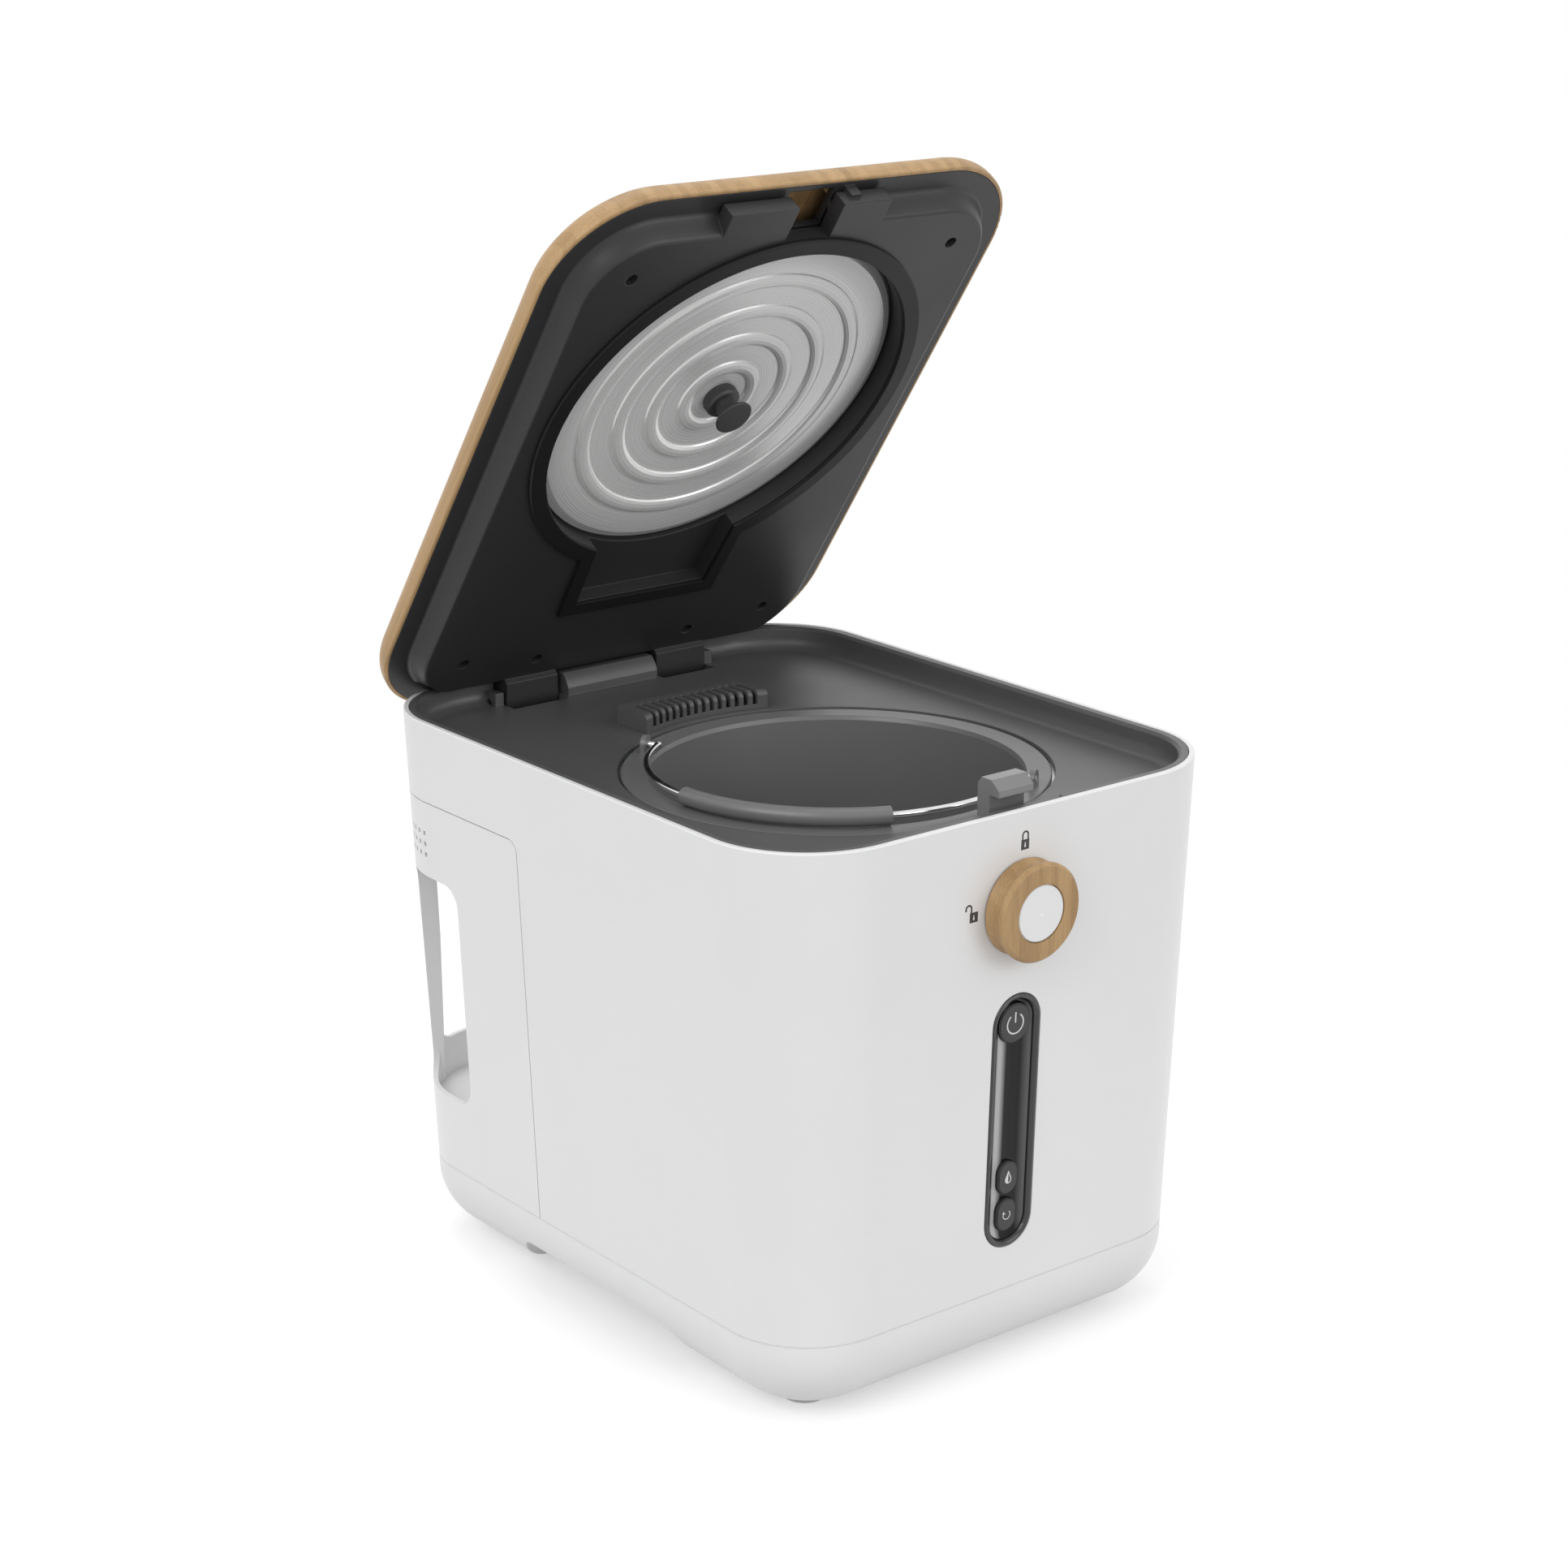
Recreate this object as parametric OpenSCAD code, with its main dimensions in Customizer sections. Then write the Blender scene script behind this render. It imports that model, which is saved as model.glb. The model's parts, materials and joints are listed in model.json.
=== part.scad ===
// Countertop food waste composter with a hinged bamboo lid, a lift-out stirring bucket,
// a steel steam plate inside the lid, a lock knob and a small control panel on the front.
// X runs to the right along the front, Y from the front to the back, Z up.
// The lid is drawn closed and then swung open about its hinge.

/* [Body] */
// Width across the rim
body_w = 270; // [266:2:290]
// Depth across the rim
body_d = 338.5; // [336.5:1:360.5]
// Height of the rim above the worktop
rim_z = 278.6; // [272.6:1:300.6]
// Plan radius of the upright corners at the rim
corner_r = 52.7; // [50.7:1:56.7]
// Inward lean of the walls going down, per millimetre of height
draft = 0.039; // [0.03:0.001:0.042]
// Thickness of the white moulded walls
wall = 2.6; // [2.2:0.1:3]
// Height of the seam between the casing and the base
seam_z = 42.5; // [40.5:0.5:46.5]
// Depth of the shadow groove on each side of a seam
seam_groove = 0.4; // [0.3:0.1:0.6]

/* [Base] */
// Radius of the rounded lower edge
base_edge_r = 34.4; // [30.4:1:35.4]
// Height of the rubber feet
foot_h = 3; // [2:0.5:5]
// Radius of the rubber feet
foot_r = 11; // [8:0.5:11]
// Distance of the foot centres inside the left and right sides
foot_side = 49; // [47:1:69]
// Distance of the front feet's centres inside the front
foot_front = 50.25; // [48.25:1:71.25]
// Distance of the rear feet's centres inside the back
foot_back = 73.25; // [55.25:1:75.25]
// Height of the air channel's ceiling above the worktop
channel_z = 23.6; // [18.6:1:26.6]
// Distance of the ends of the channel's flat ceiling inside the front and back
channel_end = 114.75; // [108.75:1:124.75]
// Run of the curve at each end of the channel
channel_run = 22; // [16:1:26]
// Place of the channel's middle along the depth
channel_y = -2.5; // [-6.5:0.5:3.5]

/* [Rear cover] */
// Distance of the upright parting line in front of the back
cover_inset = 131.65; // [124.65:1:138.65]
// Depth of the top parting line below the rim
cover_drop = 41.1; // [34.1:1:46.1]
// Radius of the parting line's corner
cover_r = 6.5; // [4:0.5:10]
// Gap along the parting line
cover_gap = 0.5; // [0.3:0.1:0.8]
// Radius of the rounded wall inside each hand pocket
pocket_r = 77; // [74:1:79]
// Height of the hand pocket's floor
pocket_z0 = 75; // [70:1:78]
// Depth of the hand pocket's ceiling below the rim
pocket_drop = 78.6; // [75.6:1:88.6]
// Height of the side opening's lower edge
grip_z0 = 82; // [80:1:90]
// Height of the rear window's lower edge
window_z0 = 94.4; // [88.4:1:98.4]
// Distance of the side opening's front edge from the back
grip_front = 75.25; // [69.25:1:77.25]
// Distance of the side opening's rear edge from the back
grip_back = 21.25; // [17.25:1:25.25]
// Distance of the rear window's outer edge from the side
window_side = 26.6; // [26.6:0.5:31.6]
// Width of the rear window
window_w = 47.4; // [38.4:1:48.4]
// Radius of the hand openings' corners
grip_r = 11; // [8:1:14]
// Depth of the grip post
post_t = 7; // [6:0.5:9]
// Side of a square air vent
vent_s = 2.2; // [1.8:0.2:3]
// Spacing of the air vents
vent_pitch = 5.6; // [5:0.2:7]
// Rows of air vents
vent_rows = 3; // [2:1:4]
// Columns of air vents round each rear corner
vent_columns = 9; // [3:1:12]
// Depth of the lowest row of air vents below the rim
vent_drop = 69.1; // [64.1:0.5:72.1]

/* [Deck] */
// Depth of the deck floor below the rim
deck_drop = 12.6; // [12:0.2:14]
// Thickness of the deck floor
deck_t = 2.5; // [2:0.1:2.7]
// Width of the flat ledge round the deck
ledge_w = 4.7; // [4.1:0.2:5.1]
// Radius between the ledge's wall and the deck floor
deck_fillet = 6; // [4:0.5:6.5]
// Distance of the deck's bucket hole behind the front
front_gap = 29.95; // [27.95:0.5:33.45]
// Gap between the bucket's flange and the deck
deck_hole_gap = 1.6; // [1.2:0.1:2.4]

/* [Exhaust grille] */
// Half width of the grille
grille_half = 37.5; // [34.5:0.5:38.5]
// Depth of the grille at its middle
grille_d = 18.6; // [14.6:0.5:19.6]
// Height of the grille above the deck
grille_h = 9.4; // [8:0.2:9.8]
// Distance of the grille's hollow front behind the deck's bucket hole
grille_gap = 3.7; // [2.5:0.2:4.5]
// Number of slots
grille_slots = 14; // [8:1:15]
// Width of a slot
grille_slot_w = 2.5; // [1.8:0.1:2.8]

/* [Bucket] */
// Inner radius at the bucket's mouth
bucket_r = 89; // [86:0.5:90]
// How much narrower the bucket's floor is than its mouth, in radius
bucket_taper = 5; // [3:1:11]
// Height of the bucket's underside above the worktop
bucket_z = 109.4; // [105.4:1:135.4]
// Thickness of the bucket's wall
bucket_t = 1.6; // [1.2:0.1:2]
// Radius of the bucket's rounded lower edge
bucket_edge_r = 14; // [10:1:20]
// Width of the flange round the bucket's mouth
flange_w = 12.9; // [11.9:0.1:13.4]
// Thickness of the bucket's wire bail
wire_r = 1.7; // [1.4:0.1:2]
// Radius of the bail's tubular grip
bail_grip_r = 4.3; // [3.6:0.1:4.5]
// Length of the bail's grip along its bow, in degrees
bail_grip_deg = 66; // [46:2:80]
// Turn of the bail's pivot line from the X direction
bail_turn = -56.2; // [-62.2:1:-50.2]

/* [Lid] */
// Angle at which the lid stands open
lid_open = 54.3; // [40.3:1:54.3]
// Gap between the closed lid and the rim
lid_gap = 0.5; // [0.4:0.1:0.8]
// Thickness of the bamboo lid
lid_t = 14.2; // [14.2:0.2:16.2]
// Radius of the lid's upper edge
lid_edge_r = 11; // [8:0.5:11]
// Inset of the lid's outline from the rim's
lid_inset = 1.4; // [1.2:0.1:1.6]
// Width of the bamboo rim round the liner
lid_rim = 1.9; // [1.7:0.1:2.2]
// Thickness of the bamboo over the liner
lid_skin = 3.2; // [3:0.1:3.8]
// Distance of the hinge axis in front of the rear wall
hinge_inset = 10.85; // [10.45:0.05:10.85]
// Depth of the hinge axis below the rim
hinge_drop = 12.2; // [12.2:0.1:12.8]
// Radius of the hinge pins
hinge_pin_r = 2.2; // [1.8:0.1:2.6]
// Half width of the fixed hinge block
hinge_mid = 28; // [24:1:30]
// Inner side of each hinge knuckle
knuckle_in = 31; // [31:0.5:33]
// Outer side of each hinge knuckle
knuckle_out = 62; // [56:1:64]
// Height of the liner's raised field below the closed rim plane
liner_field = 10; // [9:0.5:10.5]
// Wall of the liner
liner_t = 2.2; // [1.8:0.1:2.4]

/* [Lid seal and steam plate] */
// Distance of the ring seal outside the bucket's mouth
seal_gap = 8.9; // [8.2:0.1:9.4]
// Width of the ring seal
seal_w = 9; // [8.4:0.1:9.4]
// Depth of the seal below the closed rim plane
seal_drop = 12.1; // [11.6:0.1:12.3]
// Gap between the steam plate and the ring seal
plate_gap = 1.5; // [1.1:0.1:3.5]
// Depth of the steam plate below the closed rim plane
plate_drop = 2; // [1.6:0.2:3]
// Thickness of the steam plate
plate_t = 0.8; // [0.6:0.1:1.2]
// Height of the pressed rings in the steam plate
bead_h = 1.6; // [1:0.2:2]
// Width of a pressed ring
bead_w = 8; // [6:0.5:9]
// Radius of the steam plate's pull knob
pull_r = 9.7; // [8.2:0.5:10.7]
// Reach of the pull knob below the closed rim plane
pull_drop = 17.6; // [15.6:0.5:19.6]

/* [Latch and lock knob] */
// Half width of the latch hook
hook_half = 10.3; // [8.3:0.5:11.3]
// Distance of the unlocked hook's nose behind the front
hook_inset = 7.05; // [7.05:0.1:8.05]
// Travel of the hook from unlocked to locked
hook_travel = 2.8; // [2:0.1:2.8]
// Top of the hook above the rim
hook_top = 12.2; // [11.2:0.2:12.4]
// Depth of the knob's axis below the rim
knob_drop = 45.6; // [42.6:1:50.6]
// Radius of the knob at its front
knob_r = 23.4; // [20.4:0.5:26.4]
// How far the knob stands off the front
knob_h = 13; // [11:0.5:17]
// Radius of the knob's white cap
knob_cap_r = 13.5; // [11.5:0.5:15.5]
// Radius of the knob's shaft
knob_shaft_r = 4; // [3:0.2:4.6]

/* [Control panel] */
// Width of the panel
panel_w = 29; // [27:0.5:31]
// Height of the panel's lower end above the worktop
panel_z0 = 64; // [60:1:74]
// Depth of the panel's upper end below the rim
panel_drop = 87.9; // [81.9:1:93.9]
// Radius of the power button
power_r = 9.4; // [8.4:0.2:9.8]
// Width of the two small buttons
small_w = 11.5; // [9.5:0.5:13]
// Height of the two small buttons
small_h = 16; // [14:0.5:16]
// Travel of the buttons
button_travel = 1; // [0.6:0.1:1.1]

/* [Drive] */
// Radius of the stirrer's drive shaft
drive_shaft_r = 5; // [4:0.25:6]
// Radius of the large belt pulley
big_pulley_r = 45; // [35:1:50]
// Radius of the motor's belt pulley
small_pulley_r = 11; // [9:0.5:14]
// Width of the drive belt
belt_w = 9; // [6:0.5:10]
// Thickness of the drive belt
belt_t = 2; // [1.5:0.1:2.5]
// Radius of the motor
motor_r = 27; // [22:1:29]
// Distance of the motor's axis in front of the back
motor_inset = 75.25; // [73.25:1:79.25]
// Gap between the stirring arms and the wall at the bucket's floor
stir_gap = 10; // [6:1:24]
// Side of the fan's square frame
fan_s = 80; // [70:1:84]

/* [Hidden] */
$fn = 96;

big = 400;
// Clearance between fixed pieces that lie against each other
fit = 0.3;
// Clearance of a shaft in its bore
run = 0.05;

corner_x = body_w / 2 - corner_r;
corner_y = body_d / 2 - corner_r;
lean = atan(draft);
// Thickness of the strip behind the rear cover's parting line
land_t = 2.4;
// Sizes and places that follow the rim, the back, the sides or the bucket
cover_y = body_d / 2 - cover_inset;
cover_z = rim_z - cover_drop;
pocket_z1 = rim_z - pocket_drop;
vent_z = rim_z - vent_drop;
knob_z = rim_z - knob_drop;
panel_z1 = rim_z - panel_drop;
channel_half = body_d / 2 - channel_end;
foot_x = body_w / 2 - foot_side;
foot_rows = [-body_d / 2 + foot_front, body_d / 2 - foot_back];
grip_front_y = body_d / 2 - grip_front;
grip_back_y = body_d / 2 - grip_back;
window_x = body_w / 2 - window_side;
window_in_x = window_x - window_w;
bucket_floor_r = bucket_r - bucket_taper;
flange_r = bucket_r + flange_w;
deck_hole_r = flange_r + deck_hole_gap;
bucket_y = -body_d / 2 + front_gap + deck_hole_r;
grille_r = deck_hole_r + grille_gap;
grille_back_y = bucket_y + grille_r + grille_d;
seal_in = bucket_r + seal_gap;
seal_out = seal_in + seal_w;
plate_r = seal_in - plate_gap;
hook_nose_y = -body_d / 2 + hook_inset;
motor_y = body_d / 2 - motor_inset;
stir_r = bucket_floor_r - stir_gap;
deck_z = rim_z - deck_drop;
lid_z = rim_z + lid_gap;
lid_top_z = lid_z + lid_t;
axis_y = body_d / 2 - hinge_inset;
axis_z = rim_z - hinge_drop;
// The rear rim is rounded about the hinge so that the lid rolls over it
roll_r = hinge_drop + 0.1;
roll_far = hinge_inset + 3;

// Distance from a corner's centre to the outer face at height z
function out(z) = corner_r - draft * (rim_z - z);
// Place of the front face along the depth at height z
function front_y(z) = -(corner_y + out(z));
function back_y(z) = corner_y + out(z);

// The object's middle along the depth lies on the origin while the lid is open
lid_out = corner_r - lid_inset;
lid_far = corner_y + lid_out;
knob_front_y = front_y(knob_z) - knob_h;
lid_back_y = axis_y + (lid_far - lid_edge_r - axis_y) * cos(lid_open)
  + (lid_top_z - lid_edge_r - axis_z) * sin(lid_open) + lid_edge_r;
origin_y = -(knob_front_y + lid_back_y) / 2;

ledge_in = corner_r - wall - fit - ledge_w;
deck_foot = ledge_in - deck_fillet;

flange_z = deck_z - 0.6;
flange_t = 1.9;
well_floor_z = bucket_z - 3;
well_gap = 3;
well_t = 1.5;
well_r = bucket_r + bucket_t + well_gap;
well_flange_z = flange_z - flange_t - fit;
chassis_z = seam_z + 17.5;
chassis_t = 2.5;
pulley_z = chassis_z + chassis_t + 6;
socket_z = well_floor_z - 16;
post_r = 5;
post_ring = bucket_floor_r;
coil_r = bucket_floor_r - 24;

liner_z = lid_z;
liner_r = lid_out - lid_rim - fit;
skirt_z = liner_z + 3.2;
field_z = lid_z - liner_field;
field_r = liner_r - 16.9;
bevel_r = liner_r - 9.7;
liner_top_z = lid_top_z - lid_skin - fit;
liner_back_y = axis_y - 13.1;
plate_z = lid_z - plate_drop;
seal_z = lid_z - seal_drop;
seal_top = field_z - 0.05;
roof_z = plate_z + bead_h + plate_t + 0.4;

// Half widths and depths of the steam channel from the ring seal to the grille
channel_front_y = bucket_y + seal_in - 9.3;
channel_back_y = grille_back_y + 2.2;
channel_front_half = grille_half + 4.5;
channel_back_half = grille_half + 2.4;
channel_wall = 7.4;
channel_roof_z = deck_z + grille_h + 1;

slot_half = hook_half + 2.7;
slot_front_y = hook_nose_y - 0.8;
slot_back_y = slot_front_y + 21.5;
hook_back_y = hook_nose_y + 14.2;
hook_post_y = hook_nose_y + 6.2;
hook_top_z = rim_z + hook_top;
nose_z = rim_z + 4.8;
switch_pin_x = 18.5;
switch_pin_w = 6;
switch_pin_y = slot_front_y - 0.6;
recess_left = 53;
recess_right = 43;
recess_y = slot_front_y + 0.4;

panel_mid_z = (panel_z0 + panel_z1) / 2;
panel_r = panel_w / 2;
panel_half = (panel_z1 - panel_z0) / 2 - panel_r;
small_r = small_w / 2;
small_half = small_h / 2 - small_r;
power_y = panel_half - 0.5;
drop_y = -panel_half + 20.1;
cycle_y = -panel_half + 1.2;
board_z = -8;

fan_t = 25;
case_half = fan_s / 2;
case_z1 = deck_z - deck_t - 20.5;
case_z0 = case_z1 - fan_s;
fan_z = case_z1 - fan_s / 2;
fan_y = back_y(case_z0) - wall - fan_t - 3;
duct_half = 28;
duct_d = 10;
duct_y = grille_back_y - duct_d - 3.8;
case_y0 = duct_y - 1.2;
case_y1 = fan_y - fit;
inlet_x = 30;
inlet_z = 79;
inlet_w = 27.4;
inlet_h = 19.8;

// Carries a profile, drawn as distance out from the corner centres and height, round the body
module around() {
  for (k = [0:3])
    rotate(90 * k)
      translate([k % 2 == 0 ? corner_x : corner_y, 0, 0])
        rotate([90, 0, 0])
          linear_extrude(height = 2 * (k % 2 == 0 ? corner_y : corner_x), center = true) children();
  for (k = [0:3])
    translate([k == 0 || k == 3 ? corner_x : -corner_x, k < 2 ? corner_y : -corner_y, 0])
      rotate(90 * k) rotate_extrude(angle = 90) children();
}

module middle(z0, z1) {
  translate([-corner_x, -corner_y, z0]) cube([2 * corner_x, 2 * corner_y, z1 - z0]);
}

// A plate with the body's outline, r out from the corner centres
module slab(r, z0, z1) {
  around() translate([0, z0]) square([r, z1 - z0]);
  middle(z0, z1);
}

// The layer of the drafted wall between two depths below its outer face
module skin(t0, t1, z0, z1) {
  around() polygon([
    [out(z0) - t1, z0], [out(z0) - t0, z0], [out(z1) - t0, z1], [out(z1) - t1, z1]
  ]);
}

// Everything inside the drafted wall deeper than t
module core(t, z0, z1) {
  around() polygon([[0, z0], [out(z0) - t, z0], [out(z1) - t, z1], [0, z1]]);
  middle(z0, z1);
}

// Tilts a piece to lie on the leaning front face at height z, with its own z pointing out
module on_front(z) {
  translate([0, front_y(z), z]) rotate([90 + lean, 0, 0]) children();
}

module at_bucket() {
  translate([0, bucket_y, 0]) children();
}

module at_axis() {
  translate([0, axis_y, axis_z]) children();
}

// Swings a piece that is drawn on the closed lid to the open lid
module opened() {
  at_axis() rotate([-lid_open, 0, 0]) translate([0, -axis_y, -axis_z]) children();
}

// Extrudes a profile of depth and height along X, from x0 to x1
module along_x(x0, x1) {
  translate([x0, 0, 0]) rotate([90, 0, 90]) linear_extrude(height = x1 - x0) children();
}

module placed() {
  translate([0, origin_y, 0]) children();
}

module rounded_rect(x0, y0, x1, y1, r) {
  translate([x0 + r, y0]) square([x1 - x0 - 2 * r, y1 - y0]);
  translate([x0, y0 + r]) square([x1 - x0, y1 - y0 - 2 * r]);
  for (x = [x0 + r, x1 - r], y = [y0 + r, y1 - r]) translate([x, y]) circle(r);
}

module stadium(r, half) {
  translate([-r, -half]) square([2 * r, 2 * half]);
  for (s = [-1, 1]) translate([0, s * half]) circle(r);
}

// What the rolling lid needs cut away from the rear rim
module roll_relief() {
  difference() {
    translate([-big / 2, axis_y, axis_z]) cube([big, roll_far, roll_far]);
    translate([-big / 2 - 1, axis_y, axis_z]) rotate([0, 90, 0]) cylinder(r = roll_r, h = big + 2);
  }
}

// The region behind and below the rear cover's parting line, grown by o
module cover_region(o) {
  r = cover_r + o;
  along_x(-big / 2, big / 2) {
    translate([cover_y - o + r, -1]) square([big, cover_z + o + 1]);
    translate([cover_y - o, -1]) square([big, cover_z + o + 1 - r]);
    translate([cover_y - o + r, cover_z + o - r]) circle(r);
  }
}

module main_casing() {
  color("white") placed() {
    difference() {
      union() {
        difference() {
          around() polygon([
            [out(seam_z) - wall, seam_z], [out(seam_z) - seam_groove, seam_z],
            [out(seam_z + seam_groove), seam_z + seam_groove],
            [out(rim_z), rim_z - 0.6], [out(rim_z) - 0.6, rim_z], [out(rim_z) - wall, rim_z]
          ]);
          cover_region(0);
        }
        cover_land();
      }
      roll_relief();
      on_front(panel_mid_z) translate([0, 0, -wall - 4])
        linear_extrude(height = wall + 8) stadium(panel_r, panel_half);
      on_front(knob_z) translate([0, 0, -wall - 4]) cylinder(r = 2 * knob_shaft_r + fit, h = wall + 8);
    }
  }
}

// The strip behind the parting line that the rear cover is screwed against
module cover_land() {
  land = 6;
  difference() {
    intersection() {
      skin(wall - 0.5, wall + land_t, seam_z, cover_z + land);
      cover_region(land);
    }
    cover_region(0);
  }
  difference() {
    intersection() {
      skin(wall + fit, wall + land_t, seam_z, cover_z);
      cover_region(0);
    }
    cover_region(-land + 0.01);
  }
}

// The base's profile from the corner centre line out, t inside its outer face
module base_profile(t, top) {
  e = out(seam_z) - base_edge_r;
  r = base_edge_r - t;
  z0 = foot_h + t;
  translate([0, z0]) square([e, top - z0]);
  translate([e, foot_h + base_edge_r]) square([r, top - foot_h - base_edge_r]);
  intersection() {
    translate([e, foot_h + base_edge_r]) circle(r);
    translate([e, z0]) square([r, r]);
  }
}

// The air channel under the base, t larger all round, with an S curve at each end
module air_channel(t) {
  steps = 10;
  rise = channel_z - foot_h;
  function sweep_up(i) = foot_h + t + rise * (1 - cos(180 * i / steps)) / 2;
  along_x(-big / 2, big / 2) translate([channel_y, 0]) polygon(concat(
    [[-channel_half - channel_run - t, -1]],
    [for (i = [0:steps]) [-channel_half - t - channel_run * (1 - i / steps), sweep_up(i)]],
    [for (i = [steps:-1:0]) [channel_half + t + channel_run * (1 - i / steps), sweep_up(i)]],
    [[channel_half + channel_run + t, -1]]
  ));
}

module base() {
  color("white") placed() {
    difference() {
      union() {
        around() difference() {
          base_profile(0, seam_z);
          translate([out(seam_z) - seam_groove, seam_z - seam_groove]) square(1);
        }
        middle(foot_h, seam_z);
      }
      difference() {
        union() {
          around() base_profile(wall, seam_z + 1);
          middle(foot_h + wall, seam_z + 1);
        }
        air_channel(wall);
      }
      air_channel(0);
      for (x = [-foot_x, foot_x], y = foot_rows)
        translate([x, y, foot_h - 1]) cylinder(r = foot_r + 0.2, h = 2);
    }
    for (x = [-foot_x, foot_x], y = foot_rows)
      translate([x, y, foot_h + wall - 0.5]) cylinder(r = 6, h = chassis_z - foot_h - wall + 0.5);
  }
}

module feet() {
  color("dimgray") placed()
    for (x = [-foot_x, foot_x], y = foot_rows)
      translate([x, y, 0]) rotate_extrude() {
        square([foot_r - 1, foot_h + 1]);
        translate([0, 1]) square([foot_r, foot_h]);
        translate([foot_r - 1, 1]) circle(1, $fn = 24);
      }
}

// The hand opening in one side, and the window beside it in the back
module hand_openings() {
  difference() {
    union() {
      along_x(-big / 2, big / 2)
        rounded_rect(grip_front_y, grip_z0, grip_back_y, pocket_z1 - 2, grip_r);
      for (s = [-1, 1])
        translate([0, corner_y, 0]) rotate([90, 0, 0]) translate([0, 0, -big / 2])
          linear_extrude(height = big / 2)
            rounded_rect(s < 0 ? -window_x : window_in_x, window_z0,
              s < 0 ? -window_in_x : window_x, pocket_z1 - 4, grip_r);
    }
    core(4.2, pocket_z0 - 10, pocket_z1 + 10);
  }
}

module pocket_round(r, z0, z1) {
  for (s = [-1, 1])
    translate([s * body_w / 2, body_d / 2, z0]) cylinder(r = r, h = z1 - z0);
}

// The walls, floor and ceiling of the hand pockets
module hand_pockets() {
  t = 2.2;
  difference() {
    intersection() {
      core(1, pocket_z0 - t, pocket_z1 + t);
      pocket_round(pocket_r + t, pocket_z0 - t - 1, pocket_z1 + t + 1);
    }
    intersection() {
      core(wall - 0.2, pocket_z0, pocket_z1);
      pocket_round(pocket_r, pocket_z0 - 1, pocket_z1 + 1);
    }
  }
  intersection() {
    skin(1, post_t, pocket_z0 - 1, pocket_z1 + 1);
    for (s = [-1, 1])
      translate([s > 0 ? window_x : -window_x - big, grip_back_y, pocket_z0 - 2])
        cube([big, big, pocket_z1 - pocket_z0 + 4]);
  }
}

// Rows of small square vents round both rear corners
module air_vents() {
  step = vent_pitch / out(vent_z) * 180 / PI;
  for (row = [0:vent_rows - 1], i = [0:vent_columns - 1], s = [-1, 1]) {
    z = vent_z + row * vent_pitch;
    translate([s * corner_x, corner_y, z]) rotate(s > 0 ? 4 + i * step : 176 - i * step)
      translate([out(z) - wall - 2, -vent_s / 2, -vent_s / 2]) cube([wall + 4, vent_s, vent_s]);
  }
}

module rear_cover() {
  color("whitesmoke") placed() difference() {
    union() {
      intersection() {
        around() polygon([
          [out(seam_z) - wall, seam_z], [out(seam_z) - seam_groove, seam_z],
          [out(seam_z + seam_groove), seam_z + seam_groove],
          [out(cover_z), cover_z], [out(cover_z) - wall, cover_z]
        ]);
        cover_region(-cover_gap);
      }
      hand_pockets();
    }
    hand_openings();
    air_vents();
    translate([inlet_x - inlet_w / 2, corner_y, inlet_z - inlet_h / 2]) cube([inlet_w, big, inlet_h]);
  }
}

// The ledge, its rounded wall and the skirt inside the casing
module deck_profile() {
  b = deck_z - deck_t;
  top = rim_z - 0.2;
  polygon([
    [ledge_in, b], [out(b) - wall - fit, b], [out(top) - wall - fit, top],
    [ledge_in + 1.5, top], [ledge_in, top - 1.5]
  ]);
  translate([deck_foot - 1, b]) square([ledge_in - deck_foot + 2, deck_t]);
  difference() {
    translate([deck_foot, deck_z - 0.5]) square([deck_fillet + 0.5, deck_fillet + 0.5]);
    translate([deck_foot, deck_z + deck_fillet]) circle(deck_fillet);
  }
}

// Outline of the fixed hinge block, seen along the hinge axis
module hinge_block_outline() {
  front = hinge_drop + 0.2;
  intersection() {
    translate([-front, -4]) square([front + 7, 14.6]);
    union() {
      circle(hinge_drop + 0.7);
      translate([-front, -4]) square([front + 7, 6]);
    }
  }
}

module deck() {
  tray_x0 = knuckle_in - 1;
  tray_x1 = knuckle_out + 1;
  tray_z = axis_z - 8.8;
  tray_y0 = axis_y - 15.4;
  skirt_y = back_y(deck_z) - wall - fit;
  color("dimgray") placed() difference() {
    union() {
      around() deck_profile();
      slab(deck_foot, deck_z - deck_t, deck_z);
      at_axis() along_x(-hinge_mid, hinge_mid) hinge_block_outline();
      for (s = [-1, 1]) {
        translate([s > 0 ? tray_x0 - 2 : -tray_x1 - 2, tray_y0 - 2, tray_z - 2])
          cube([tray_x1 - tray_x0 + 4, skirt_y - tray_y0 + 1, deck_z - tray_z]);
        at_axis() along_x(s > 0 ? tray_x1 : -tray_x1 - 5, s > 0 ? tray_x1 + 5 : -tray_x1)
          translate([-6, -4]) square([13, 10]);
      }
    }
    at_bucket() translate([0, 0, deck_z - 10]) cylinder(r = deck_hole_r, h = 20);
    for (s = [-1, 1])
      translate([s > 0 ? tray_x0 : -tray_x1, tray_y0, tray_z])
        cube([tray_x1 - tray_x0, axis_y + 7.9 - tray_y0, 40]);
    translate([-hook_half - 0.7, slot_front_y + 2.6, deck_z - 10])
      cube([2 * hook_half + 1.4, hook_back_y + 0.8 - slot_front_y - 2.6, 40]);
    translate([-recess_left, recess_y, deck_z]) cube([recess_left + recess_right, 20, 40]);
    translate([switch_pin_x - 1, switch_pin_y - 1.2, deck_z - 10]) cube([switch_pin_w + 2, 5, 40]);
    translate([-duct_half, duct_y, deck_z - 10]) cube([2 * duct_half, duct_d, 20]);
    at_axis() translate([-tray_x1 - 5.1, 0, 0]) rotate([0, 90, 0])
      cylinder(r = hinge_pin_r + run, h = 2 * tray_x1 + 10.2);
    roll_relief();
  }
}

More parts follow.
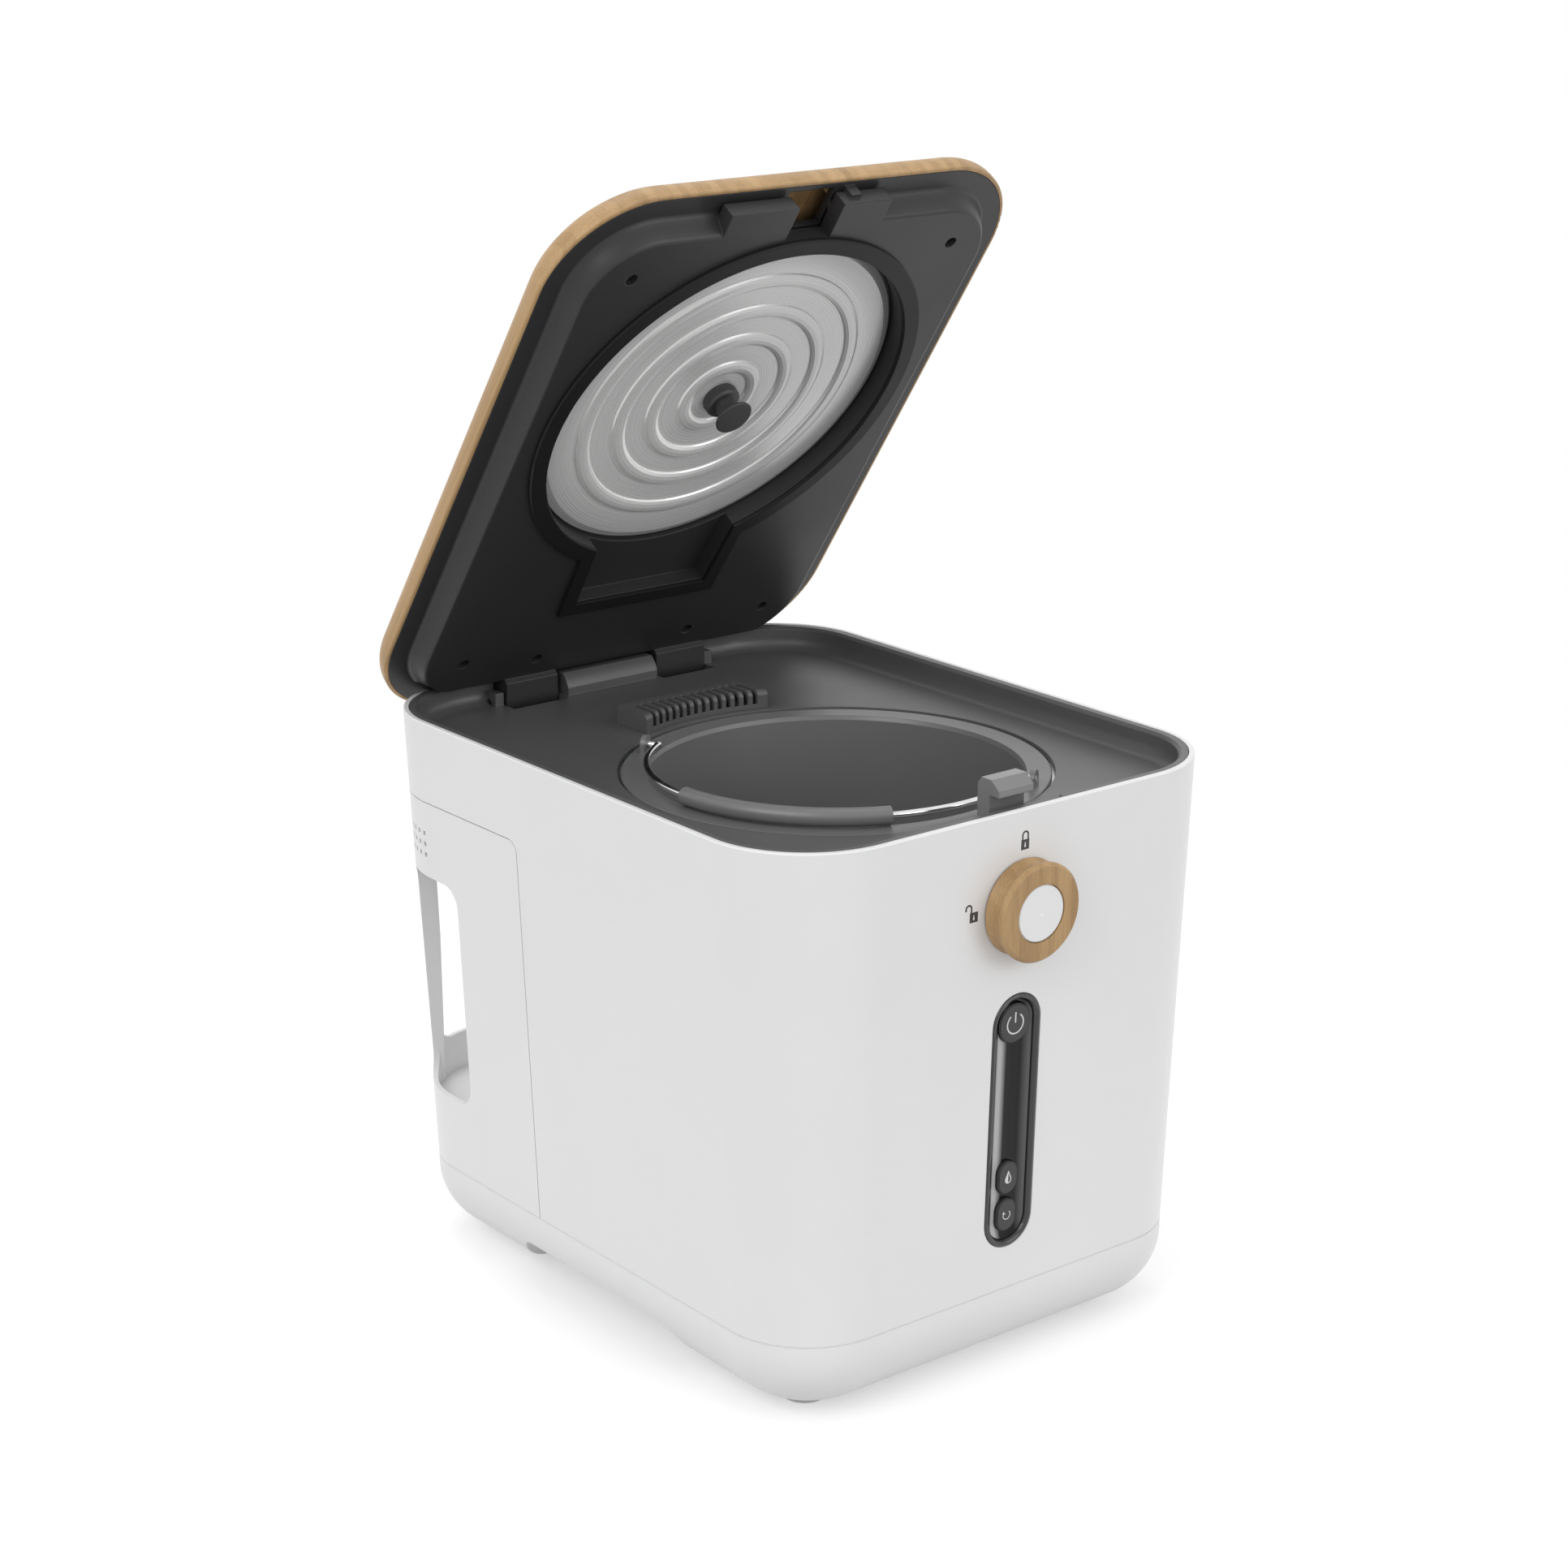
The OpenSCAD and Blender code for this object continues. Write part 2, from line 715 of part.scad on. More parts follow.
// The slotted vapour outlet: a hollow cap with a rounded upper edge that follows the bucket
module exhaust_grille() {
  r = 3;
  t = 1.8;
  pitch = (2 * grille_half - 8) / grille_slots;
  module cap(inset) {
    intersection() {
      translate([-grille_half + inset, 0, deck_z - 1])
        cube([2 * (grille_half - inset), grille_back_y - inset, grille_h + 2]);
      at_bucket() translate([0, 0, deck_z]) rotate_extrude() {
        translate([grille_r + inset + r, inset > 0 ? -1 : 0])
          square([big, grille_h - inset + (inset > 0 ? 1 : 0)]);
        translate([grille_r + inset, inset > 0 ? -1 : 0])
          square([big, grille_h - inset - r + (inset > 0 ? 1 : 0)]);
        translate([grille_r + inset + r, grille_h - inset - r]) circle(r);
      }
    }
  }
  color("dimgray") placed() difference() {
    cap(0);
    cap(t);
    for (i = [0:grille_slots - 1])
      translate([(i - (grille_slots - 1) / 2) * pitch - grille_slot_w / 2, 0, deck_z + 2.4])
        cube([grille_slot_w, grille_back_y - 6, grille_h]);
  }
}

// The bamboo board with its rounded upper edge and the pockets that hold the liner and clear the hook
module lid_top() {
  r = lid_edge_r;
  low = 1;
  color("burlywood") placed() opened() difference() {
    union() {
      around() {
        translate([0, lid_z + low]) square([lid_out, lid_t - r - low]);
        translate([0, lid_z]) square([lid_out - low, lid_t - r]);
        intersection() {
          translate([lid_out - r, lid_top_z - r]) circle(r);
          translate([lid_out - r, lid_top_z - r]) square(r);
        }
        translate([0, lid_z]) square([lid_out - r, lid_t]);
        translate([lid_out - low, lid_z + low]) circle(low, $fn = 24);
      }
      middle(lid_z, lid_top_z);
    }
    slab(lid_out - lid_rim, lid_z - 1, skirt_z + fit);
    slab(field_r + 8, lid_z - 1, lid_top_z - lid_skin);
    hook_room();
  }
}

// The room in the closed lid that the locked hook moves into
module hook_room() {
  nose = hook_nose_y - hook_travel - 0.5;
  along_x(-slot_half, slot_half) polygon([
    [slot_back_y, lid_z - 1], [slot_back_y, hook_top_z + 0.5], [nose + 5, hook_top_z + 0.5],
    [nose, hook_top_z - 4], [nose, skirt_z - 0.5], [slot_front_y, skirt_z - 0.5], [slot_front_y, lid_z - 1]
  ]);
}

// The liner's slope from its flat border to its raised field, o inside the underside
function slope(o) = [for (i = [0:8]) [
  bevel_r - 0.7 * o - (bevel_r - field_r) * i / 8,
  liner_z + o - liner_field * (1 - cos(180 * i / 8)) / 2
]];

// The liner's bent wall: skirt inside the bamboo, flat border, slope and raised field
module liner_profile() {
  t = liner_t;
  over = slope(t);
  polygon(concat(
    [[liner_r, skirt_z], [liner_r, liner_z]], slope(0), [[0, field_z], [0, field_z + t]],
    [for (i = [8:-1:0]) over[i]], [[liner_r - t, liner_z + t], [liner_r - t, skirt_z]]
  ));
}

// Plan of the steam channel from inside the ring seal back over the grille, w wider and longer
module channel_plan(w) {
  polygon([
    [-channel_front_half - w, 0], [-channel_front_half - w, channel_front_y - bucket_y],
    [-channel_back_half - w, channel_back_y - bucket_y + w],
    [channel_back_half + w, channel_back_y - bucket_y + w],
    [channel_front_half + w, channel_front_y - bucket_y], [channel_front_half + w, 0]
  ]);
}

screw_spots = [
  [-93, -body_d / 2 + 40], [93, -body_d / 2 + 40], [-93, body_d / 2 - 43.5], [93, body_d / 2 - 43.5],
  [-47, body_d / 2 - 36.5], [47, body_d / 2 - 36.5]
];
screw_r = 1.5;
screw_head_r = 2.8;
screw_head_z = field_z + 5;

// Outline of a lid knuckle in the open pose, seen along the hinge axis
module knuckle_outline() {
  r = 7.6;
  reach = 20;
  // Depth at which the open lid's underside passes height z above the axis
  function lid_under(z) = (hinge_drop + lid_gap) / sin(lid_open) - z / tan(lid_open);
  circle(r);
  polygon([
    [-r, 0], [-r, 10.5], [-4.6, 14], [lid_under(reach), reach],
    [lid_under(11.4), 11.4], [r, 10.6], [r, 0]
  ]);
}

module lid_liner() {
  t = liner_t;
  boss_r = 5;
  color("dimgray") placed() {
    opened() difference() {
      union() {
        difference() {
          union() {
            around() liner_profile();
            middle(field_z, field_z + t);
          }
          translate([-big / 2, liner_back_y - t / 2, field_z - 5])
            cube([big, big, liner_z - field_z + 5 - 0.01]);
        }
        intersection() {
          slab(liner_r - 0.5, liner_z, liner_z + t);
          translate([-big / 2, liner_back_y - t - 3, 0]) cube([big, big, big]);
        }
        intersection() {
          core_field();
          translate([-big / 2, liner_back_y - t, 0]) cube([big, t, big]);
        }
        at_bucket() translate([0, 0, field_z]) cylinder(r = seal_in + 4, h = roof_z + t - field_z);
        at_bucket() translate([0, 0, field_z]) linear_extrude(height = channel_roof_z + t - field_z)
          channel_plan(t);
        for (p = screw_spots)
          translate([p[0], p[1], field_z]) cylinder(r = boss_r, h = liner_top_z - field_z);
        latch_blocks();
        translate([switch_pin_x, switch_pin_y, lid_z - 6.5]) cube([switch_pin_w, 3, 6.5 + t]);
      }
      at_bucket() translate([0, 0, field_z - 5]) cylinder(r = seal_in, h = roof_z - field_z + 5);
      at_bucket() translate([0, 0, field_z - 5])
        linear_extrude(height = channel_roof_z - field_z + 5) channel_plan(0);
      for (p = screw_spots) translate([p[0], p[1], 0]) {
        translate([0, 0, field_z - 5]) cylinder(r = screw_head_r + 0.3, h = screw_head_z - field_z + 5);
        cylinder(r = screw_r + 0.1, h = big);
      }
      translate([-slot_half, slot_front_y, field_z - 5])
        cube([2 * slot_half, slot_back_y - slot_front_y, 60]);
      hook_room();
    }
    at_axis() difference() {
      for (s = [-1, 1])
        along_x(s > 0 ? knuckle_in : -knuckle_out, s > 0 ? knuckle_out : -knuckle_in) knuckle_outline();
      translate([-big / 2, 0, 0]) rotate([0, 90, 0]) cylinder(r = hinge_pin_r + run, h = big);
    }
  }
}

// The space between the raised field and the rim plane, for the liner's back wall
module core_field() {
  around() polygon(concat([[0, liner_z + 1], [bevel_r, liner_z + 1]], slope(0), [[0, field_z]]));
  middle(field_z, liner_z + 1);
}

// The two raised blocks beside the latch slot, and the slot's own walls
module latch_blocks() {
  w = 1.8;
  front = recess_y + 0.8;
  back = slot_back_y + w;
  translate([-recess_left + 2, front, field_z])
    cube([recess_left + recess_right - 4, back - front, liner_t + 6]);
  translate([-slot_half - w, slot_front_y - w, liner_z])
    cube([2 * slot_half + 2 * w, slot_back_y - slot_front_y + 2 * w, skirt_z - liner_z]);
}

module lid_seal() {
  edge = 0.8;
  color("black") placed() opened() at_bucket() difference() {
    union() {
      rotate_extrude() {
        translate([seal_in, seal_z + edge]) square([seal_out - seal_in, seal_top - seal_z - edge]);
        translate([seal_in + edge, seal_z]) square([seal_out - seal_in - 2 * edge, 2 * edge]);
        for (x = [seal_in + edge, seal_out - edge]) translate([x, seal_z + edge]) circle(edge, $fn = 32);
      }
      translate([0, 0, seal_z]) linear_extrude(height = seal_top - seal_z) difference() {
        channel_plan(channel_wall);
        circle(seal_out - 2);
      }
    }
    translate([0, 0, seal_z - 1]) linear_extrude(height = 10) channel_plan(0);
  }
}

module lid_screws() {
  color("silver") placed() opened() for (p = screw_spots) translate([p[0], p[1], 0]) {
    translate([0, 0, screw_head_z - 2]) cylinder(r = screw_head_r, h = 2);
    translate([0, 0, screw_head_z - 1]) cylinder(r = screw_r, h = liner_top_z - screw_head_z - 1);
  }
}

module hinge_pins() {
  color("silver") placed() at_axis() for (s = [-1, 1])
    translate([s > 0 ? knuckle_in - 12 : -knuckle_out - 5, 0, 0]) rotate([0, 90, 0])
      cylinder(r = hinge_pin_r, h = knuckle_out - knuckle_in + 17);
}

bead_radii = [for (k = [0.197, 0.384, 0.57, 0.768]) k * plate_r];

// The steel plate: a disc with pressed rings and a turned edge, drawn as one revolved sheet
module steam_plate() {
  w = bead_w / 2;
  function sheet(o) = concat(
    [[8, o]],
    [for (b = bead_radii) for (a = [0:30:180]) [b - w * cos(a), o - bead_h * sin(a)]],
    [[plate_r - 4, o], [plate_r - 1.5, o + 1], [plate_r, o + 1.6]]
  );
  under = sheet(0);
  over = sheet(plate_t);
  n = len(under);
  color("silver") placed() opened() at_bucket() translate([0, 0, plate_z])
    rotate_extrude() polygon(concat(under, [for (i = [n - 1:-1:0]) over[i]]));
}

module plate_pull_knob() {
  drop = pull_drop - plate_drop;
  color("black") placed() opened() at_bucket() translate([0, 0, plate_z]) rotate_extrude() polygon([
    [0, -drop], [pull_r - 0.4, -drop], [pull_r, -drop + 0.6], [pull_r - 0.3, -drop + 1.6],
    [5.6, -drop + 3], [5.2, -drop + 6], [5.4, -6.6], [8, -6.2], [pull_r - 0.8, -5],
    [pull_r - 0.6, -1.6], [pull_r - 1.2, -fit], [7.7, -fit], [7.7, plate_t + 0.2], [0, plate_t + 0.2]
  ]);
}

module bucket() {
  e = bucket_edge_r;
  ro = bucket_floor_r + bucket_t;
  ri = bucket_floor_r;
  hub_r = 9;
  color("dimgray") placed() at_bucket() {
    difference() {
      rotate_extrude() {
        difference() {
          union() {
            polygon([
              [0, bucket_z], [ro - e, bucket_z], [ro - e, bucket_z + e], [ro, bucket_z + e],
              [bucket_r + bucket_t, flange_z - flange_t], [flange_r, flange_z - flange_t],
              [flange_r, flange_z - 0.6], [flange_r - 0.6, flange_z], [0, flange_z]
            ]);
            intersection() {
              translate([ro - e, bucket_z + e]) circle(e);
              translate([ro - e, bucket_z]) square(e);
            }
          }
          polygon([
            [0, bucket_z + bucket_t], [ro - e, bucket_z + bucket_t], [ro - e, bucket_z + e],
            [ri, bucket_z + e], [bucket_r, flange_z - 2], [bucket_r + 1.5, flange_z + 1], [0, flange_z + 1]
          ]);
          intersection() {
            translate([ro - e, bucket_z + e]) circle(e - bucket_t);
            translate([ro - e, bucket_z + bucket_t]) square(e - bucket_t);
          }
        }
        translate([0, bucket_z]) square([hub_r, 12]);
      }
      translate([0, 0, bucket_z - 1]) cylinder(r = drive_shaft_r + run, h = 20);
    }
    // The two ears that carry the bail
    rotate(bail_turn) for (s = [-1, 1]) difference() {
      translate([s * bail_ear_r, 0, flange_z - 0.2]) rotate([90, 0, 90])
        translate([0, 0, -ear_t / 2]) linear_extrude(height = ear_t) {
          translate([-4.5, 0]) square([9, bail_z - flange_z + 0.2]);
          translate([0, bail_z - flange_z + 0.2]) circle(4.5);
        }
      translate([s * bail_ear_r, 0, bail_z]) rotate([0, 90, 0])
        cylinder(r = wire_r + run, h = 20, center = true);
    }
  }
}

ear_t = 2.4;
bail_ear_r = bucket_r + 7;
bail_z = flange_z + 3.6;
bail_bow_r = bucket_r + 0.6;
pin_reach = bail_ear_r - bail_bow_r + ear_t / 2 + 0.2;
// The bow rises from its pivots until its grip clears the flange
bail_rise = asin((flange_z + bail_grip_r + 0.4 - bail_z) / bail_bow_r);

// Puts a piece drawn on the bail's own plane on the bucket, lying toward the front
module on_bail() {
  at_bucket() translate([0, 0, bail_z]) rotate(bail_turn) rotate([-bail_rise, 0, 0]) children();
}

module bail_wire() {
  grip_half = bail_grip_deg / 2;
  bow_wire_r = wire_r - 0.1;
  color("silver") placed() on_bail() {
    rotate([0, 0, 180]) rotate_extrude(angle = 94 - grip_half)
      translate([bail_bow_r, 0]) circle(bow_wire_r);
    rotate([0, 0, 266 + grip_half]) rotate_extrude(angle = 94 - grip_half)
      translate([bail_bow_r, 0]) circle(bow_wire_r);
    for (s = [-1, 1]) {
      translate([s * bail_bow_r, 0, 0]) sphere(wire_r + 0.2);
      translate([s > 0 ? bail_bow_r : -bail_bow_r - pin_reach, 0, 0]) rotate([0, 90, 0])
        cylinder(r = wire_r, h = pin_reach);
    }
  }
}

module bail_grip() {
  color("black") placed() on_bail()
    difference() {
      rotate([0, 0, 270 - bail_grip_deg / 2]) rotate_extrude(angle = bail_grip_deg)
        translate([bail_bow_r, 0]) circle(bail_grip_r);
      for (s = [0, 1])
        rotate([0, 0, s == 0 ? 270 - bail_grip_deg / 2 - 1 : 270 + bail_grip_deg / 2 - 5])
          rotate_extrude(angle = 6) translate([bail_bow_r, 0]) circle(wire_r + 0.02);
    }
}

// The stirrer: a tapered hub with two bent sweeping arms, and the drive dog under the bucket
module stirring_blade() {
  z = bucket_z + 12.4;
  arm_h = 9;
  arm_t = 5;
  color("gray") placed() at_bucket() {
    difference() {
      translate([0, 0, z]) rotate_extrude() polygon([[0, 0], [14, 0], [14, 6], [8, 26], [0, 28]]);
      translate([0, 0, z - 1]) cylinder(r = drive_shaft_r - 1, h = 8);
    }
    translate([0, 0, socket_z + 10]) cylinder(r = drive_shaft_r, h = z - socket_z - 6);
    translate([-8, -1.8, socket_z + 8.4]) cube([16, 3.6, bucket_z - socket_z - 8.4 - 0.6]);
    for (s = [0, 1]) rotate(180 * s)
      difference() {
        intersection() {
          translate([stir_r / 2, -stir_r / 3, z + 1 + 12 * s]) difference() {
            cylinder(r = stir_r * 0.6 + arm_t / 2, h = arm_h);
            translate([0, 0, -1]) cylinder(r = stir_r * 0.6 - arm_t / 2, h = arm_h + 2);
          }
          translate([0, 0, z]) cube([big, big, arm_h + 20]);
          translate([0, 0, z]) cylinder(r = stir_r, h = arm_h + 20);
        }
      }
  }
}

module bucket_well() {
  color("silver") placed() at_bucket() difference() {
    rotate_extrude() polygon([
      [0, well_floor_z], [well_r + well_t, well_floor_z], [well_r + well_t, well_flange_z - 1.6],
      [seal_out - 0.4, well_flange_z - 1.6], [seal_out - 0.4, well_flange_z], [well_r, well_flange_z],
      [well_r, well_floor_z + 2], [0, well_floor_z + 2]
    ]);
    translate([0, 0, well_floor_z - 1]) cylinder(r = 18, h = 5);
  }
}

module well_posts() {
  color("silver") placed() at_bucket() for (a = [45:90:315]) rotate(a)
    translate([post_ring, 0, chassis_z + chassis_t])
      cylinder(r = post_r, h = well_floor_z - chassis_z - chassis_t);
}

module heating_element() {
  tube_r = 3.3;
  color("gray") placed() at_bucket() translate([0, 0, well_floor_z - tube_r - fit]) {
    rotate(20) rotate_extrude(angle = 320) translate([coil_r, 0]) circle(tube_r);
    for (a = [26, 334]) rotate(a) translate([coil_r, 0, -16]) cylinder(r = tube_r - 0.7, h = 16);
  }
}

module chassis() {
  z = chassis_z;
  color("silver") placed() difference() {
    slab(out(z) - wall - land_t - 2 * fit, z, z + chassis_t);
    at_bucket() translate([0, 0, z - 1]) cylinder(r = 12 + fit, h = chassis_t + 2);
    translate([0, motor_y, z - 1]) cylinder(r = 14, h = chassis_t + 2);
    for (s = [-1, 1]) translate([s * 40 - 15, 20, z - 1]) cube([30, 40, chassis_t + 2]);
  }
}

// The bronze bearing that carries the drive shaft on the chassis
module shaft_bearing() {
  z = chassis_z;
  color("peru") placed() at_bucket() difference() {
    union() {
      translate([0, 0, z - 10]) cylinder(r = 12, h = 10 + chassis_t + 3);
      translate([0, 0, z - 3]) cylinder(r = 20, h = 3);
    }
    translate([0, 0, z - 11]) cylinder(r = drive_shaft_r + run, h = 30);
  }
}

module drive_shaft() {
  slot_w = 4.6;
  color("silver") placed() at_bucket() {
    translate([0, 0, chassis_z - 12]) cylinder(r = drive_shaft_r, h = socket_z + 4 - chassis_z + 12);
    difference() {
      translate([0, 0, socket_z]) cylinder(r = 12, h = 14);
      translate([-13, -slot_w / 2, socket_z + 8]) cube([26, slot_w, 10]);
      translate([0, 0, socket_z + 8]) cylinder(r = drive_shaft_r + 0.4, h = 10);
    }
  }
}

module drive_pulley() {
  h = belt_w + 4;
  color("dimgray") placed() at_bucket() translate([0, 0, pulley_z]) difference() {
    rotate_extrude() polygon([
      [0, 0], [big_pulley_r + 2, 0], [big_pulley_r + 2, 1.5], [big_pulley_r, 2],
      [big_pulley_r, h - 2], [big_pulley_r + 2, h - 1.5], [big_pulley_r + 2, h], [0, h]
    ]);
    translate([0, 0, -1]) cylinder(r = drive_shaft_r + run, h = h + 2);
  }
}

motor_gap = motor_y - bucket_y;

// Outline of the belt's run, o out from both pulleys
module belt_outline(o) {
  hull() {
    circle(big_pulley_r + o, $fn = 64);
    translate([0, motor_gap]) circle(small_pulley_r + o, $fn = 64);
  }
}

module drive_belt() {
  color("black") placed() at_bucket() translate([0, 0, pulley_z + 2]) difference() {
    linear_extrude(height = belt_w) belt_outline(fit + belt_t);
    translate([0, 0, -1]) linear_extrude(height = belt_w + 2) belt_outline(fit);
  }
}

module motor() {
  z0 = foot_h + wall + 10;
  color("silver") placed() translate([0, motor_y, 0]) difference() {
    union() {
      translate([0, 0, z0]) cylinder(r = motor_r, h = chassis_z - z0);
      translate([0, 0, z0 - 2]) cylinder(r = 9, h = 4);
      translate([0, 0, chassis_z - 1]) cylinder(r = 11, h = chassis_t + 2);
    }
    translate([0, 0, chassis_z - 20]) cylinder(r = 3 + run, h = 30);
  }
}

module motor_pulley() {
  h = belt_w + 4;
  color("dimgray") placed() translate([0, motor_y, 0]) {
    translate([0, 0, chassis_z - 18]) cylinder(r = 3, h = 30);
    translate([0, 0, pulley_z]) rotate_extrude() polygon([
      [0, 0], [small_pulley_r + 1.6, 0], [small_pulley_r + 1.6, 1.5], [small_pulley_r, 2],
      [small_pulley_r, h - 2], [small_pulley_r + 1.6, h - 1.5], [small_pulley_r + 1.6, h], [0, h]
    ]);
  }
}

// Distance of the hook's follower finger from the knob's axis, and its reach
pad_r = 10;
pad_reach = 2;
cam_r = pad_r + 3;
hook_foot_z = knob_z + cam_r + 1;

// The sliding hook with its sloped nose, standing up through the deck
module latch_hook() {
  color("dimgray") placed() {
    along_x(-hook_half, hook_half) polygon([
      [hook_back_y, hook_foot_z], [hook_back_y, hook_top_z - 3], [hook_back_y - 2.4, hook_top_z],
      [hook_nose_y + 5, hook_top_z], [hook_nose_y, hook_top_z - 4.2], [hook_nose_y, nose_z],
      [hook_post_y, nose_z], [hook_post_y, hook_foot_z]
    ]);
    translate([-1.2, hook_post_y - pad_reach, knob_z + pad_r - 1.5])
      cube([2.4, pad_reach + 3, hook_foot_z - knob_z - pad_r + 2.5]);
  }
}

module latch_guide() {
  t = 3;
  z0 = knob_z + 16;
  side = hook_half + fit;
  y0 = hook_post_y - hook_travel - 0.6;
  y1 = hook_back_y + 0.6;
  color("gray") placed() difference() {
    translate([-side - t, y0 - 2, z0]) cube([2 * (side + t), y1 - y0 + 2 + t, deck_z - deck_t - z0]);
    translate([-side, y0, z0 - 1]) cube([2 * side, y1 - y0, big]);
    translate([switch_pin_x - 5, y0 - 3, z0 - 1]) cube([big, 5, big]);
  }
}

knob_gap = 0.6;

// The bamboo grip ring: waisted, with a rounded front edge
module knob_ring() {
  color("burlywood") placed() on_front(knob_z) difference() {
    rotate_extrude() {
      polygon([
        [0, knob_gap], [knob_r - 0.9, knob_gap], [knob_r - 0.6, knob_gap + 0.6],
        [knob_r - 1.8, knob_h * 0.4], [knob_r - 1.4, knob_h * 0.62], [knob_r, knob_h - 2.6],
        [knob_r, knob_h - 1.4], [knob_r - 1.4, knob_h], [0, knob_h]
      ]);
    }
    translate([0, 0, knob_h - 3]) cylinder(r = knob_cap_r + 0.25, h = 5);
    translate([0, 0, -1]) cylinder(r = knob_shaft_r + run, h = 30);
  }
}

module knob_cap() {
  color("white") placed() on_front(knob_z) translate([0, 0, knob_h - 3]) rotate_extrude() polygon([
    [0, 0], [knob_cap_r, 0], [knob_cap_r, 2.2], [knob_cap_r - 0.6, 2.7], [0, 2.9]
  ]);
}

module knob_shaft() {
  color("silver") placed() on_front(knob_z)
    translate([0, 0, -10]) cylinder(r = knob_shaft_r, h = 7 + knob_h);
}

module knob_bush() {
  color("gray") placed() on_front(knob_z) difference() {
    union() {
      translate([0, 0, -wall - 0.4]) cylinder(r = 2 * knob_shaft_r, h = wall + 0.6);
      translate([0, 0, -wall - 1.6]) cylinder(r = 2 * knob_shaft_r + 3, h = 1.4);
    }
    translate([0, 0, -wall - 8]) cylinder(r = knob_shaft_r + run, h = 30);
  }
}

// The face cam: its sloped side lets the hook move forward as the knob turns to lock
module latch_cam() {
  face = hook_post_y - pad_reach - hook_travel - front_y(knob_z) + (pad_r - 2) * draft - 0.25;
  color("ivory") placed() on_front(knob_z) difference() {
    union() {
      translate([0, 0, -face]) cylinder(r = cam_r, h = 1.2);
      translate([0, 0, -face - hook_travel]) difference() {
        cylinder(r = cam_r, h = hook_travel + 0.5);
        translate([0, 0, -1]) cylinder(r = pad_r - 2.6, h = hook_travel + 1);
      }
    }
    translate([0, 0, -face - hook_travel]) rotate([0, atan(hook_travel / (pad_r - 1.7)), 0])
      translate([-30, -30, -20]) cube([30, 60, 20]);
    translate([0, 0, -face - 5]) cylinder(r = knob_shaft_r + run, h = 10);
  }
}

// Carries a profile, drawn as distance out from the panel's spine and height, round the panel
module round_panel() {
  for (k = [0, 1]) rotate(180 * k) {
    translate([0, panel_half, 0]) rotate_extrude(angle = 180) children();
    rotate([90, 0, 0]) linear_extrude(height = 2 * panel_half, center = true) children();
  }
}

// The panel's frame: a raised round rim that slopes down to the gloss window
module panel_bezel() {
  r = panel_r - 0.25;
  color("black") placed() on_front(panel_mid_z) round_panel() polygon([
    [r, board_z], [r, -0.2], [r - 0.3, 0.3], [r - 0.9, 0.6], [r - 1.6, 0.5], [r - 2.3, 0],
    [r - 2.9, -1], [r - 3.2, -2.2], [r - 3.2, board_z]
  ]);
}

module small_button_plan(o) {
  stadium(small_r + o, small_half);
}

// The gloss window, hollowed along its length
module panel_window() {
  r = panel_r - 3.6;
  color("black") placed() on_front(panel_mid_z) difference() {
    round_panel() polygon([
      [0, -4.6], [r, -4.6], [r, -1.7], [r - 0.8, -2], [r - 2.2, -2.5],
      [r - 4.2, -2.9], [r - 6.6, -3.1], [0, -3.2]
    ]);
    translate([0, power_y, -10]) cylinder(r = power_r + 0.3, h = 20);
    for (y = [drop_y, cycle_y]) translate([0, y, -10]) linear_extrude(height = 20) small_button_plan(0.3);
  }
}

button_top = -0.9;
button_foot = -5.6;

module power_button() {
  color("dimgray") placed() on_front(panel_mid_z) translate([0, power_y, button_foot]) {
    cylinder(r = power_r, h = button_top - button_foot - 0.5);
    cylinder(r = power_r - 0.5, h = button_top - button_foot);
  }
}

module small_button(y) {
  color("dimgray") placed() on_front(panel_mid_z) translate([0, y, button_foot]) {
    linear_extrude(height = button_top - button_foot - 0.5) small_button_plan(0);
    linear_extrude(height = button_top - button_foot) small_button_plan(-0.5);
  }
}

module drop_button() {
  small_button(drop_y);
}

module cycle_button() {
  small_button(cycle_y);
}

// The circuit board behind the panel with its three press switches
module control_board() {
  w = 24;
  color("darkgreen") placed() on_front(panel_mid_z) {
    translate([-w / 2, -panel_half - 8, board_z - 1.6]) cube([w, 2 * panel_half + 16, 1.6]);
    for (y = [power_y, drop_y, cycle_y])
      translate([-3, y - 3, board_z - 0.1]) cube([6, 6, button_foot - button_travel - 0.2 - board_z]);
  }
}

module lid_switch() {
  top = lid_z - 7.5;
  color("black") placed()
    translate([switch_pin_x - 0.7, switch_pin_y - 0.7, deck_z - deck_t - 8])
      cube([switch_pin_w + 1.4, 2, top - deck_z + deck_t + 8]);
}

module filter_case() {
  t = 2;
  color("gray") placed() difference() {
    translate([-case_half, case_y0, case_z0]) cube([2 * case_half, case_y1 - case_y0, case_z1 - case_z0]);
    translate([-case_half + t, case_y0 + t, case_z0 + t])
      cube([2 * (case_half - t), case_y1 - case_y0 - 2 * t, case_z1 - case_z0 - 2 * t]);
    translate([-duct_half, duct_y + 1, case_z1 - 5]) cube([2 * duct_half, duct_d, 10]);
    translate([0, case_y1 + 1, fan_z]) rotate([90, 0, 0]) cylinder(r = fan_s / 2 - 4, h = 6);
  }
}

module carbon_filter() {
  t = 2;
  color("black") placed()
    translate([-case_half + t + fit, duct_y + duct_d + 4, case_z0 + t])
      cube([2 * (case_half - t - fit), case_y1 - duct_y - duct_d - 8, case_z1 - case_z0 - 2 * t]);
}

module exhaust_duct() {
  t = 1.8;
  z1 = deck_z - deck_t;
  color("gray") placed() difference() {
    translate([-duct_half - t, duct_y - t, case_z1])
      cube([2 * (duct_half + t), duct_d + 2 * t, z1 - case_z1]);
    translate([-duct_half, duct_y, case_z1 - 1]) cube([2 * duct_half, duct_d, z1 - case_z1 + 2]);
  }
}

